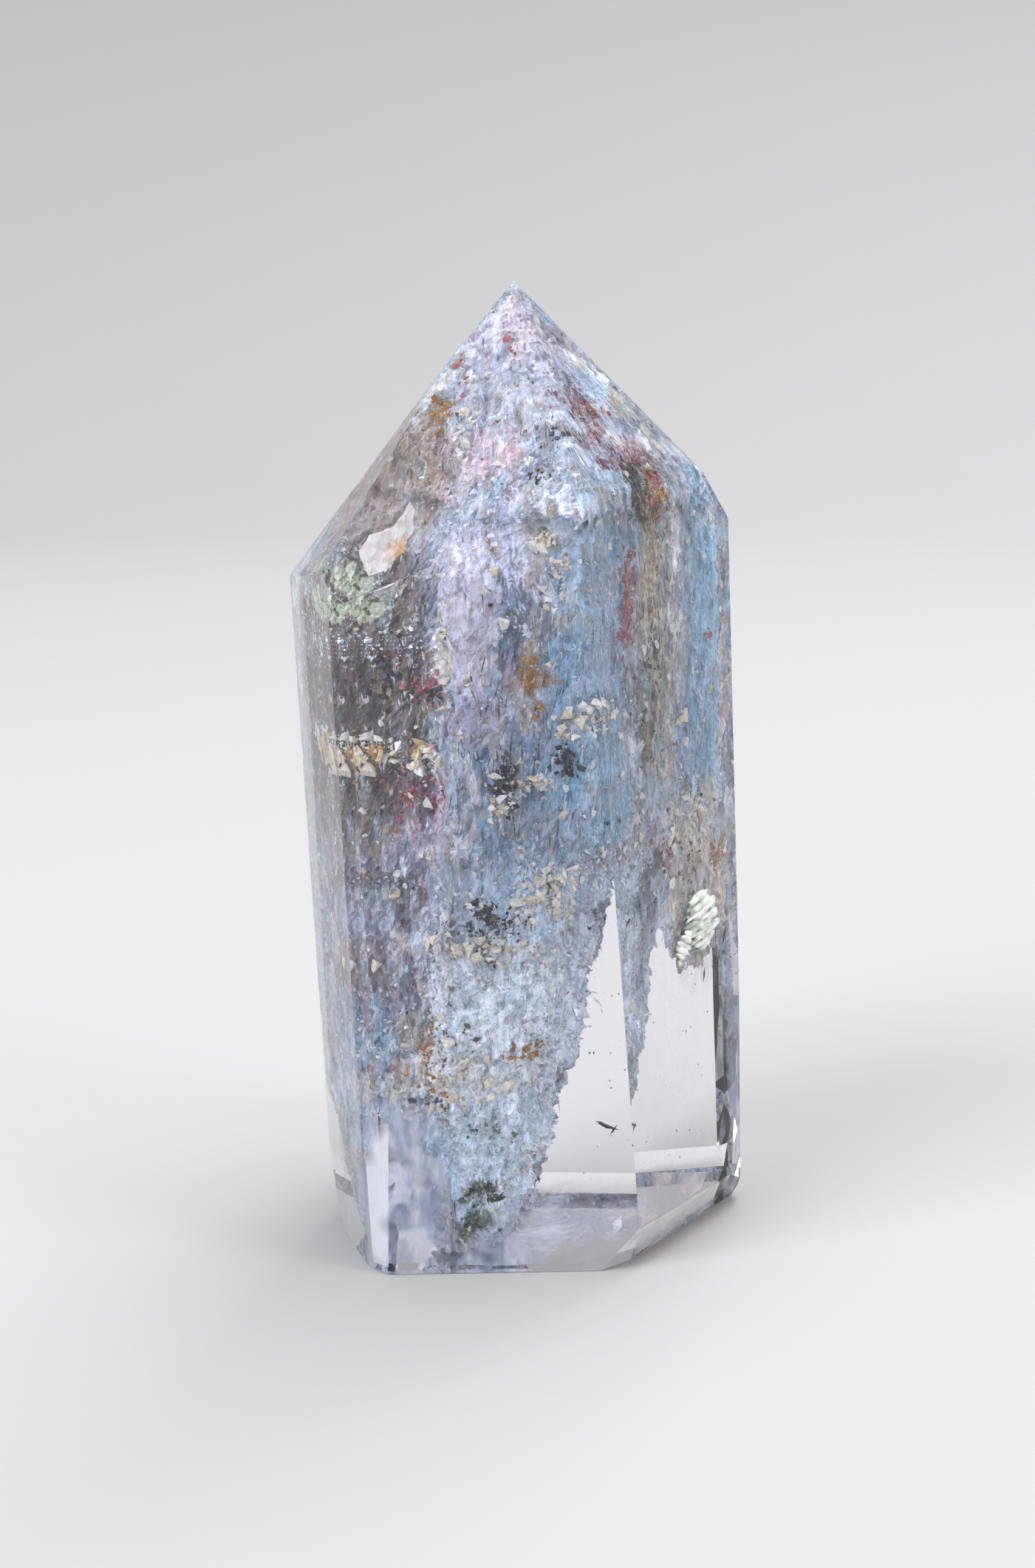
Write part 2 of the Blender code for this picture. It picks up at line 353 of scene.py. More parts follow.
def garden_minerals():
    """Intergrown minerals, earthy and dull: drawn out upright, in ragged patches, full of grain."""
    material, tree, output = new_material("intergrown_garden_minerals")
    place = add_node(tree, "TexCoord").outputs["Object"]
    in_mm = add_node(tree, "VectorMath", {"operation": "SCALE", "Scale": 1 / MM}, {0: place})
    in_mm = in_mm.outputs[0]

    def grown(kind, source, per_mm, settings=None):
        """A pattern round the source position, with this many of its forms a mm each way."""
        scaled = add_node(tree, "VectorMath", {"operation": "MULTIPLY", 1: per_mm}, {0: source})
        return add_node(
            tree, kind, {"Scale": 1.0, **(settings or {})}, {"Vector": scaled.outputs[0]}
        )

    def strewn(source, per_mm, detail, reach):
        """The source position, pushed about unevenly, by up to half of reach in mm each way."""
        field = grown("TexNoise", source, per_mm, {"Detail": detail, "Roughness": 0.6})
        push = add_node(
            tree,
            "VectorMath",
            {"operation": "MULTIPLY_ADD", 1: reach, 2: [-r / 2 for r in reach]},
            {0: field.outputs["Color"]},
        )
        moved = add_node(
            tree, "VectorMath", {"operation": "ADD"}, {0: source, 1: push.outputs[0]}
        )
        return moved.outputs[0]

    height = add_node(tree, "SeparateXYZ", {}, {0: in_mm}).outputs["Z"]
    low_crowd = add_node(
        tree,
        "MapRange",
        {1: LOW_CROWDING[0], 2: EVEN_FROM, 3: LOW_CROWDING[1], 4: 1.0},
        {0: height},
    )
    high_crowd = add_node(
        tree,
        "MapRange",
        {1: EVEN_TO, 2: HIGH_CROWDING[0], 3: 1.0, 4: HIGH_CROWDING[1]},
        {0: height},
    )
    crowd = add_node(
        tree,
        "Math",
        {"operation": "MULTIPLY"},
        {0: low_crowd.outputs[0], 1: high_crowd.outputs[0]},
    ).outputs[0]
    across = add_node(
        tree, "VectorMath", {"operation": "SUBTRACT", 1: (*STRANDS_MEET, 0.0)}, {0: in_mm}
    )
    by = add_node(tree, "CombineXYZ", {"Z": 1.0}, {"X": crowd, "Y": crowd})
    along = add_node(
        tree, "VectorMath", {"operation": "MULTIPLY"}, {0: across.outputs[0], 1: by.outputs[0]}
    ).outputs[0]
    swirled = strewn(in_mm, SWIRLS_PER_MM, 1.0, SWIRLS_PUSH)
    ragged = strewn(swirled, TEARS_PER_MM, 3.0, TEARS_PUSH)

    wisps = grown("TexNoise", along, WISPS_PER_MM, {"Detail": 3.0, "Roughness": 0.66})
    colour = add_node(
        tree,
        "ValToRGB",
        {
            "stops": (
                (0.30, "#726C78"),
                (0.40, DEEP_SLATE),
                (0.47, SLATE_BLUE),
                (0.53, "#A29EB2"),
                (0.59, ICE_BLUE),
                (0.68, PALE_LAVENDER),
            )
        },
        {"Fac": wisps.outputs["Fac"]},
    ).outputs["Color"]

    def mosaic(under, per_mm, least, most):
        """The colour under it, with ragged spots over it: each of one mineral, thin or thick."""
        spots = grown("TexVoronoi", ragged, per_mm)
        spot = add_node(tree, "SeparateColor", {}, {0: spots.outputs["Color"]})
        stops = tuple(((i + 0.5) / len(LOT_COLOURS), one) for i, one in enumerate(LOT_COLOURS))
        own = add_node(tree, "ValToRGB", {"stops": stops}, {"Fac": spot.outputs[0]})
        cover = add_node(tree, "MapRange", {3: least, 4: most}, {0: spot.outputs[1]})
        mixed = add_node(
            tree,
            "Mix",
            {"data_type": "RGBA"},
            {0: cover.outputs[0], 6: under, 7: own.outputs["Color"]},
        )
        return mixed.outputs[2]

    def patched(under, patches):
        """The colour under it, with each patch over it."""
        for middle, half_sizes, patch_colour, strength, softness in patches:
            away = add_node(tree, "VectorMath", {"operation": "SUBTRACT", 1: middle}, {0: ragged})
            scaled = add_node(
                tree, "VectorMath", {"operation": "DIVIDE", 1: half_sizes}, {0: away.outputs[0]}
            )
            far = add_node(tree, "VectorMath", {"operation": "LENGTH"}, {0: scaled.outputs[0]})
            share = add_node(
                tree,
                "MapRange",
                {"interpolation_type": "SMOOTHSTEP", 1: 1 + softness, 2: 1 - softness, 4: strength},
                {0: far.outputs["Value"]},
            )
            mixed = add_node(
                tree,
                "Mix",
                {"data_type": "RGBA", 7: linear(patch_colour)},
                {0: share.outputs[0], 6: under},
            )
            under = mixed.outputs[2]
        return under

    colour = patched(mosaic(colour, LOTS_PER_MM, 0.3, 0.9), GARDEN_PATCHES)
    colour = patched(mosaic(colour, FLECKS_PER_MM, 0.0, 0.72), SHEETS)

    # Strands and shreds make the colour lighter and darker by turns.
    strands = grown("TexNoise", along, STRANDS_PER_MM, {"Detail": 3.0, "Roughness": 0.62})
    strand_tone = add_node(
        tree, "MapRange", {1: 0.30, 2: 0.70, 3: 0.86, 4: 1.56}, {0: strands.outputs["Fac"]}
    )
    shreds = grown("TexNoise", ragged, SHREDS_PER_MM, {"Detail": 3.0, "Roughness": 0.6})
    shred_tone = add_node(
        tree, "MapRange", {1: 0.32, 2: 0.68, 3: 0.76, 4: 1.42}, {0: shreds.outputs["Fac"]}
    )
    tone = add_node(
        tree,
        "Math",
        {"operation": "MULTIPLY"},
        {0: strand_tone.outputs[0], 1: shred_tone.outputs[0]},
    )
    toned = add_node(
        tree, "VectorMath", {"operation": "SCALE"}, {0: colour, "Scale": tone.outputs[0]}
    ).outputs[0]

    # Of the crumbs a few are near black, a few are milky and a few are tan.
    crumbs = grown("TexVoronoi", ragged, CRUMBS_PER_MM)
    crumb = add_node(tree, "SeparateColor", {}, {0: crumbs.outputs["Color"]})
    for channel, starts, ends, crumb_colour, strength in (
        (crumb.outputs[0], 0.06, 0.03, "#4A4648", 0.55),
        (crumb.outputs[1], 0.90, 0.95, "#EEF0F8", 0.70),
        (crumb.outputs[2], 0.94, 0.98, "#C0A684", 0.50),
    ):
        share = add_node(tree, "MapRange", {1: starts, 2: ends, 4: strength}, {0: channel})
        mixed = add_node(
            tree,
            "Mix",
            {"data_type": "RGBA", 7: linear(crumb_colour)},
            {0: share.outputs[0], 6: toned},
        )
        toned = mixed.outputs[2]

    pitting = grown("TexNoise", along, PITS_PER_MM, {"Detail": 2.0, "Roughness": 0.7})
    relief = add_node(
        tree, "Bump", {"Strength": 0.7, "Distance": PITS_DEEP}, {"Height": pitting.outputs["Fac"]}
    )
    dull = add_node(
        tree, "MapRange", {1: 0.3, 2: 0.7, 3: 0.40, 4: 0.85}, {0: shreds.outputs["Fac"]}
    )
    shader = add_node(
        tree,
        "BsdfPrincipled",
        {"IOR": 1.56},
        {"Base Color": toned, "Roughness": dull.outputs[0], "Normal": relief.outputs[0]},
    )
    tree.links.new(shader.outputs[0], output.inputs["Surface"])
    return material


def evaluated_copy(piece):
    """The piece's mesh with its modifiers applied."""
    graph = bpy.context.evaluated_depsgraph_get()
    return bpy.data.meshes.new_from_object(piece.evaluated_get(graph))


def coordinates(mesh):
    """The places of the mesh's corners, in metres, one row each."""
    flat = np.empty(len(mesh.vertices) * 3)
    mesh.vertices.foreach_get("co", flat)
    return flat.reshape(-1, 3)


def vertex_normals(mesh):
    """The outward directions at the mesh's corners, one row each."""
    flat = np.empty(len(mesh.vertices) * 3)
    mesh.vertex_normals.foreach_get("vector", flat)
    return flat.reshape(-1, 3)


def nearness(points, middle, half_sizes):
    """1 at the middle of a patch, falling softly to 0 outside it; all in the same units."""
    far = np.linalg.norm((points - np.array(middle)) / np.array(half_sizes), axis=1)
    return np.exp(-2.0 * far**2)


def calm(points):
    """1 where the mass is closed and even, and 0 where it is ragged, at points in millimetres."""
    return np.minimum(sum(nearness(points, *place) for place in CALM_PLACES), 1.0)


def crowding(heights):
    """How close the strands run at these heights in millimetres, and how fast that changes."""
    low = np.interp(heights, (LOW_CROWDING[0], EVEN_FROM), (LOW_CROWDING[1], 1.0))
    high = np.interp(heights, (EVEN_TO, HIGH_CROWDING[0]), (1.0, HIGH_CROWDING[1]))
    fall = (LOW_CROWDING[1] - 1.0) / (EVEN_FROM - LOW_CROWDING[0]) * (heights < EVEN_FROM)
    rise = (HIGH_CROWDING[1] - 1.0) / (HIGH_CROWDING[0] - EVEN_TO) * (heights > EVEN_TO)
    return low * high, rise - fall


def mineral_growth(point, crowd):
    """How far the mass stands out at a point in millimetres: blades, ridges, grains and crags."""
    x = (point[0] - STRANDS_MEET[0]) * crowd
    y = (point[1] - STRANDS_MEET[1]) * crowd
    z = point[2]
    blade_at = Vector((x * BLADES_ACROSS, y * BLADES_ACROSS, z * BLADES_UPRIGHT))
    blades = noise.fractal(blade_at, 0.6, 2.1, 5)
    ridge_at = Vector((x * RIDGES_ACROSS, y * RIDGES_ACROSS, z * RIDGES_UPRIGHT))
    ridges = noise.ridged_multi_fractal(ridge_at, 0.9, 2.2, 4, 0.9, 2.0)
    grain_at = Vector((point[0], point[1], z * 0.8)) * GRAINS_PER_MM
    grains = noise.fractal(grain_at, 0.45, 2.3, 4)
    crag_at = Vector((x * CRAGS_ACROSS, y * CRAGS_ACROSS, z * CRAGS_UPRIGHT))
    crags = max(noise.noise(crag_at + Vector((7, 3, 5))) - 0.12, 0.0)
    # The cone is grainier than the mass above it, and its ridges and crags stand out less.
    cone = min(max((CONE_TOP - z) / CONE_BLEND, 0.0), 1.0)
    fine = (RIDGES_STAND - 0.06 * cone) * (ridges - 1.0) + (GRAINS_STAND + 0.14 * cone) * grains
    return BLADES_STAND * blades + fine + (CRAGS_STAND - 0.5 * cone) * crags


def filled_point(bm):
    """Adds the mass that fills the stone's point, an even depth under the polished faces."""
    solid = bmesh.new()
    bmesh.ops.create_cube(solid, size=UNCUT_BLOCK)
    cuts = [(normal, distance - QUARTZ_OVER_POINT) for normal, distance in stone_flats]
    cuts.append((Vector((0.0, 0.0, -1.0)), -POINT_FROM))
    for normal, distance in cuts:
        made = bmesh.ops.bisect_plane(
            solid,
            geom=solid.verts[:] + solid.edges[:] + solid.faces[:],
            plane_co=normal * distance,
            plane_no=normal,
            clear_outer=True,
        )
        rim = [item for item in made["geom_cut"] if isinstance(item, bmesh.types.BMEdge)]
        if rim:
            bmesh.ops.contextual_create(solid, geom=rim)
    bmesh.ops.recalc_face_normals(solid, faces=solid.faces)
    point = bpy.data.meshes.new("point")
    solid.to_mesh(point)
    solid.free()
    bm.from_mesh(point)
    bpy.data.meshes.remove(point)


def garden_mass():
    """The solid's mass, the filled point and the curtain in one even skin, then grown rough."""
    bm = bmesh.new()
    bm.from_mesh(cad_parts["mineral_garden"].data)
    for vertex in bm.verts:
        height = vertex.co.z / MM
        vertex.co.z -= max(FOOT_BELOW - height, 0.0) * FOOT_STRETCH * MM
    filled_point(bm)
    size = Matrix.Diagonal((*(half * MM for half in CURTAIN_HALF_SIZES), 1.0))
    place = Matrix.Translation(Vector(CURTAIN_MIDDLE) * MM)
    bmesh.ops.create_icosphere(
        bm, subdivisions=4, radius=1.0, matrix=place @ Matrix.Rotation(CURTAIN_TURN, 4, "Z") @ size
    )
    rough = bpy.data.meshes.new("garden_mass")
    bm.to_mesh(rough)
    bm.free()
    mass = new_piece("garden_mass", rough, garden_minerals())
    skin = mass.modifiers.new("even skin", "REMESH")
    skin.mode = "VOXEL"
    skin.voxel_size = SKIN_VOXEL
    soften = mass.modifiers.new("soft edges", "SMOOTH")
    soften.iterations = 4
    finer = mass.modifiers.new("finer skin", "SUBSURF")
    finer.levels = finer.render_levels = 1
    mesh = evaluated_copy(mass)
    mass.modifiers.clear()
    mass.data = mesh
    points = coordinates(mesh)
    outward = vertex_normals(mesh)
    crowd, _ = crowding(points[:, 2] / MM)
    growth = np.array([mineral_growth(*pair) for pair in zip(points / MM, crowd)]) * MM
    growth *= 1 - CALM_EVENS * calm(points / MM)
    clearer = nearness(points / MM, CLEARER_MIDDLE, CLEARER_HALF_SIZES)[:, None]
    points = points + clearer * np.array(CLEARER_BY) * MM
    room = depth_in_stone(points) - QUARTZ_OVER_SKIN
    points = points + outward * np.minimum(growth, room)[:, None]
    mesh.vertices.foreach_set("co", points.ravel())
    mesh.update()
    return mass


garden = garden_mass()
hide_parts("mineral_garden")
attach(garden, "root")

SKIN_POINTS = coordinates(garden.data)
SKIN_NORMALS = vertex_normals(garden.data)


# Upright fibres
# Needles of clay and chlorite that lie along the mass, a tenth of a millimetre thick and up to
# a few millimetres tall. They are grown onto the mass, in bundles of pale and of dark ones.
PALE_COUNT = 1900
DARK_COUNT = 900
FIBRE_WIDTH = 0.075
QUARTZ_OVER_CRYSTALS = 0.12 * MM
CRYSTAL_IOR = 1.54
CRYSTAL_UNEVEN_PER_MM = 5.0
CRYSTAL_PITS = 0.03 * MM

# A needle one unit long, pointed at both ends: its corners and its faces.
SLIVER = (
    np.array([(0, 0, -0.5), (0, 0, 0.5), (-0.5, 0, 0), (0, -0.5, 0), (0.5, 0, 0), (0, 0.5, 0)]),
    ((0, 3, 2), (0, 4, 3), (0, 5, 4), (0, 2, 5), (1, 2, 3), (1, 3, 4), (1, 4, 5), (1, 5, 2)),
)


def broken_chips(rng, count, corners):
    """Broken shapes, one unit across: each is the hull of a few points round a ball."""
    chips = []
    for _ in range(count):
        bm = bmesh.new()
        for _ in range(corners):
            bm.verts.new(Vector(rng.normal(0.0, 1.0, 3)).normalized() * rng.uniform(0.35, 0.6))
        bmesh.ops.convex_hull(bm, input=bm.verts)
        bm.verts.index_update()
        points = np.array([tuple(vertex.co) for vertex in bm.verts])
        chips.append((points, [tuple(v.index for v in face.verts) for face in bm.faces]))
        bm.free()
    return chips


def unit(vectors):
    """The same directions, each one unit long."""
    return vectors / np.maximum(np.linalg.norm(vectors, axis=1, keepdims=True), 1e-9)


CLUMPS_PER_MM = 0.9


def clumps():
    """At each point of the mass, how well small crystals took there: high in loose clumps."""
    spread = SKIN_POINTS / MM * CLUMPS_PER_MM
    took = np.array([noise.fractal(Vector(point), 0.6, 2.2, 3) for point in spread])
    took = np.maximum(took, -0.2) + 0.21
    return took * (1 - CALM_BARES * calm(SKIN_POINTS / MM))


SKIN_CLUMPS = clumps()


def seats(rng, count, clusters=(), even=1.0):
    """Places on the mass, as vertex numbers: some in loose clumps, and the rest in the clusters."""
    points = SKIN_POINTS / MM
    weights = even * SKIN_CLUMPS / SKIN_CLUMPS.sum()
    for middle, half_sizes, share in clusters:
        near = nearness(points, middle, half_sizes) * (SKIN_CLUMPS + 0.1)
        weights += share * near / max(near.sum(), 1e-9)
    return rng.choice(len(points), count, replace=False, p=weights / weights.sum())


def strand_directions(points):
    """The way that the strands of the mass run at these points."""
    crowd, change = crowding(points[:, 2] / MM)
    across = points[:, :2] / MM - np.array(STRANDS_MEET)
    return np.column_stack([-across * (change / crowd)[:, None], np.ones(len(points))])


def turned_axes(rng, places, normals, sway, tilt):
    """For each place, the rows width, thickness and length: length along the strands."""
    run = strand_directions(places)
    up = unit(run - normals * (run * normals).sum(axis=1, keepdims=True))
    side = np.cross(up, normals)
    turn = rng.normal(0.0, sway, (len(normals), 1))
    lean = rng.normal(0.0, tilt, (len(normals), 1))
    length = unit(up * np.cos(turn) + side * np.sin(turn) + normals * lean)
    thickness = unit(normals - length * (normals * length).sum(axis=1, keepdims=True))
    return np.stack([np.cross(thickness, length), thickness, length], axis=1)


def grown_on(name, material, rng, templates, seated, sizes, sway, tilt, lift=0.0, rough=0.25):
    """One joined mesh of small solids that sit on the mass, in its garden and under the quartz."""
    normals = SKIN_NORMALS[seated]
    places = SKIN_POINTS[seated] + normals * (lift * sizes[:, 1:2] * MM)
    axes = turned_axes(rng, places, normals, sway, tilt)
    points, polygons, first = [], [], 0
    for kind, (corners, faces) in enumerate(templates):
        mine = slice(kind, None, len(templates))
        shapes = corners[None] * sizes[mine][:, None, :] * MM
        shapes = shapes * (1 + rng.uniform(-rough, rough, shapes.shape))
        shapes = np.einsum("nvi,nij->nvj", shapes, axes[mine]) + places[mine][:, None, :]
        depths = depth_in_stone(shapes.reshape(-1, 3)).reshape(len(shapes), -1).min(axis=1)
        shapes = shapes[depths > QUARTZ_OVER_CRYSTALS]
        points.append(shapes.reshape(-1, 3))
        for base in range(first, first + shapes.shape[0] * len(corners), len(corners)):
            polygons += [[base + corner for corner in face] for face in faces]
        first += shapes.shape[0] * len(corners)
    mesh = bpy.data.meshes.new(name)
    mesh.from_pydata(np.concatenate(points).tolist(), [], polygons)
    piece = new_piece(name, mesh, material)
    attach(piece, "root")
    return piece


def crystal_material(name, colours, roughness=0.5):
    """Small crystals of one mineral: each takes one of its colours, and is a little uneven."""
    material, tree, output = new_material(name)
    island = add_node(tree, "NewGeometry").outputs["Random Per Island"]
    stops = tuple(((i + 0.5) / len(colours), colour) for i, colour in enumerate(colours))
    ramp = add_node(tree, "ValToRGB", {"stops": stops}, {"Fac": island})
    place = add_node(tree, "TexCoord").outputs["Object"]
    uneven = add_node(
        tree,
        "TexNoise",
        {"Scale": CRYSTAL_UNEVEN_PER_MM / MM, "Detail": 4.0, "Roughness": 0.6},
        {"Vector": place},
    )
    tone = add_node(tree, "MapRange", {1: 0.3, 2: 0.7, 3: 0.72, 4: 1.25}, {0: uneven.outputs["Fac"]})
    toned = add_node(
        tree, "VectorMath", {"operation": "SCALE"}, {0: ramp.outputs[0], "Scale": tone.outputs[0]}
    )
    worn = add_node(
        tree,
        "MapRange",
        {1: 0.3, 2: 0.7, 3: roughness - 0.15, 4: roughness + 0.2},
        {0: uneven.outputs["Fac"]},
    )
    relief = add_node(
        tree, "Bump", {"Strength": 0.5, "Distance": CRYSTAL_PITS}, {"Height": uneven.outputs["Fac"]}
    )
    shader = add_node(
        tree,
        "BsdfPrincipled",
        {"IOR": CRYSTAL_IOR},
        {"Base Color": toned.outputs[0], "Roughness": worn.outputs[0], "Normal": relief.outputs[0]},
    )
    tree.links.new(shader.outputs[0], output.inputs["Surface"])
    return material


def sliver_sizes(rng, count, width, length):
    """Widths around one value, and lengths from a third of the other up to all of it, in mm."""
    wide = width * rng.uniform(0.7, 1.4, count)
    long = length * rng.uniform(0.3, 1.0, count) ** 1.5
    return np.stack([wide, wide * 0.8, long], axis=1)


fibre_rng = np.random.default_rng(11)
PALE_BUNDLES = (
    ((9.2, -1.0, 41.0), (1.2, 2.5, 7.0), 0.35),
    ((3.6, -8.6, 38.0), (2.6, 3.0, 6.0), 0.35),
    ((4.0, -9.0, 30.0), (2.4, 3.0, 5.0), 0.30),
    ((-1.6, -5.0, 52.0), (3.0, 3.5, 5.0), 0.30),
)
grown_on(
    "pale_fibres",
    crystal_material(
        "silky_clay_fibres", (MILK_WHITE, ICE_BLUE, "#9DB4D0", PALE_LAVENDER, "#C9BFCB")
    ),
    fibre_rng,
    [SLIVER],
    seats(fibre_rng, PALE_COUNT, PALE_BUNDLES, even=0.4),
    sliver_sizes(fibre_rng, PALE_COUNT, FIBRE_WIDTH, 2.4),
    sway=0.12,
    tilt=0.05,
)
DARK_BUNDLES = (
    ((7.2, -3.4, 40.0), (1.4, 2.5, 8.0), 0.45),
    ((-0.4, -9.2, 32.0), (3.0, 2.6, 6.0), 0.35),
    ((3.4, -4.0, 51.0), (2.6, 3.6, 4.0), 0.25),
)
grown_on(
    "dark_fibres",
    crystal_material(
        "dark_chlorite_fibres", ("#5C667C", "#6A7080", "#5A5452", "#77735F", "#4C5668")
    ),
    fibre_rng,
    [SLIVER],
    seats(fibre_rng, DARK_COUNT, DARK_BUNDLES, even=0.3),
    sliver_sizes(fibre_rng, DARK_COUNT, FIBRE_WIDTH, 1.8),
    sway=0.14,
    tilt=0.05,
)


# Ice grains
# Sugary grains of milky quartz, a few tenths of a millimetre across, that crust the cone and
# catch the light on the ridges of the mass.
ICE_COUNT = 13000
ICE_CRUSTS = (
    ((-0.4, -8.6, 16.8), (5.0, 4.0, 4.5), 1.6),
    ((-1.5, -8.2, 8.5), (4.0, 4.0, 4.0), 0.8),
    ((1.6, -8.8, 23.0), (4.0, 3.2, 3.0), 0.9),
    ((5.5, -5.0, 19.0), (2.0, 4.0, 6.0), 0.5),
    ((9.4, -1.0, 27.0), (2.0, 2.5, 2.5), 0.25),
    ((-2.6, -8.6, 47.0), (3.5, 2.6, 3.0), 0.25),
    ((-8.8, -6.6, 39.0), (2.6, 2.0, 0.6), 0.22),
)


def grain_sizes(rng, count, smallest, largest):
    """Grains of all sizes, most of them small, in mm, and a little flat or long."""
    size = smallest + (largest - smallest) * rng.uniform(0, 1, (count, 1)) ** 4.0
    return size * rng.uniform(0.6, 1.3, (count, 3))


ice_rng = np.random.default_rng(23)
grown_on(
    "ice_grains",
    crystal_material(
        "milky_quartz_grains", ("#FFFFFF", "#E4EEFA", "#CEDEF0", "#F2F6FE", "#BCCEE4"), 0.3
    ),
    ice_rng,
    broken_chips(ice_rng, 6, 7),
    seats(ice_rng, ICE_COUNT, ICE_CRUSTS, even=0.7),
    grain_sizes(ice_rng, ICE_COUNT, 0.08, 0.55),
    sway=1.2,
    tilt=0.5,
    lift=0.2,
)


# Feldspar chips
# Cream and white chips of feldspar, angular and opaque, up to a millimetre across. They sit in
# crumbly clusters on the mass, with a few upright blades on its left.
CHIP_COUNT = 4200
BLADE_COUNT = 28
BLADE_SIZES = ((0.4, 0.9), (0.25, 0.4), (0.6, 1.6))
FELDSPAR_CLUSTERS = (
    ((1.5, -8.7, 45.4), (0.5, 1.5, 0.5), 0.22),
    ((2.2, -9.2, 43.9), (0.5, 1.5, 0.4), 0.20),
    ((1.9, -9.3, 42.3), (0.4, 1.5, 0.6), 0.20),
    ((4.2, -9.4, 35.3), (1.1, 1.5, 0.40), 0.65),
    ((3.3, -9.4, 34.1), (0.8, 1.5, 0.35), 0.40),
    ((-10.4, -6.6, 32.6), (2.2, 2.0, 0.8), 0.70),
    ((-1.4, -9.6, 29.8), (0.6, 1.5, 0.7), 0.22),
    ((0.8, -9.6, 30.8), (0.9, 1.5, 0.4), 0.22),
    ((-5.6, -6.6, 31.6), (0.9, 1.5, 0.8), 0.25),
    ((-3.6, -5.0, 51.4), (0.6, 1.5, 1.6), 0.12),
    ((2.4, -8.8, 23.6), (3.0, 2.0, 1.6), 0.25),
    ((-2.0, -8.8, 20.6), (3.4, 2.0, 0.6), 0.40),
    ((-3.4, -8.2, 12.2), (1.8, 2.0, 1.4), 0.50),
    ((9.6, -1.6, 26.6), (1.6, 2.0, 1.2), 0.30),
    ((-4.4, -8.4, 39.0), (0.25, 1.5, 3.2), 0.20),
)
feldspar_rng = np.random.default_rng(31)
grown_on(
    "feldspar_chips",
    crystal_material(
        "cream_feldspar_chips", ("#FBF8F2", "#EFE6D4", "#F4F4F8", "#E2D2B4", "#FFFFFF"), 0.4
    ),
    feldspar_rng,
    broken_chips(feldspar_rng, 8, 10),
    seats(feldspar_rng, CHIP_COUNT, FELDSPAR_CLUSTERS, even=0.6),
    grain_sizes(feldspar_rng, CHIP_COUNT, 0.12, 0.80),
    sway=0.8,
    tilt=0.4,
    lift=0.3,
    rough=0.4,
)
BLADE_CLUSTERS = (
    ((-10.4, -6.6, 32.5), (1.8, 2.0, 0.7), 1.0),
    ((-6.4, -6.6, 32.4), (0.7, 1.5, 0.8), 0.3),
)
blade_rng = np.random.default_rng(32)
grown_on(
    "feldspar_blades",
    crystal_material("tan_feldspar_blades", ("#F0DDB8", "#DDBE8C", "#FBF2E0", "#C9A26A"), 0.4),
    blade_rng,
    broken_chips(blade_rng, 6, 12),
    seats(blade_rng, BLADE_COUNT, BLADE_CLUSTERS, even=0.0),
    np.column_stack([blade_rng.uniform(least, most, BLADE_COUNT) for least, most in BLADE_SIZES]),
    sway=0.4,
    tilt=0.3,
    lift=0.6,
)


# Flakes
# Thin plates of iron oxide, ochre and chlorite, and black specks, a few tenths of a millimetre
# across. They stand in clusters on the mass, where each mineral had its own place to grow.
FLAKE_CORNERS = 4
FLAKE_THICKNESS = 0.22


def flake_template():
    """A flat four-sided plate, one unit across, with a smaller top than bottom."""
    rings = []
    for radius, height in ((0.5, -0.5), (0.36, 0.5)):
        for corner in range(FLAKE_CORNERS):
            turn = 2 * math.pi * corner / FLAKE_CORNERS
            rings.append((radius * math.cos(turn), height, radius * math.sin(turn)))
    low = tuple(range(FLAKE_CORNERS))
    high = tuple(corner + FLAKE_CORNERS for corner in low)
    sides = [
        (low[i], high[i], high[(i + 1) % FLAKE_CORNERS], low[(i + 1) % FLAKE_CORNERS])
        for i in range(FLAKE_CORNERS)
    ]
    return np.array(rings), [low, high[::-1]] + sides


FLAKE = flake_template()


def flake_sizes(rng, count, smallest, largest):
    """Plates of all sizes in mm, most of them small, and a fifth as thick as they are wide."""
    size = smallest + (largest - smallest) * rng.uniform(0, 1, count) ** 3.0
    wide = size * rng.uniform(0.6, 1.2, count)
    tall = size * rng.uniform(0.7, 1.5, count)
    return np.stack([wide, size * FLAKE_THICKNESS, tall], axis=1)


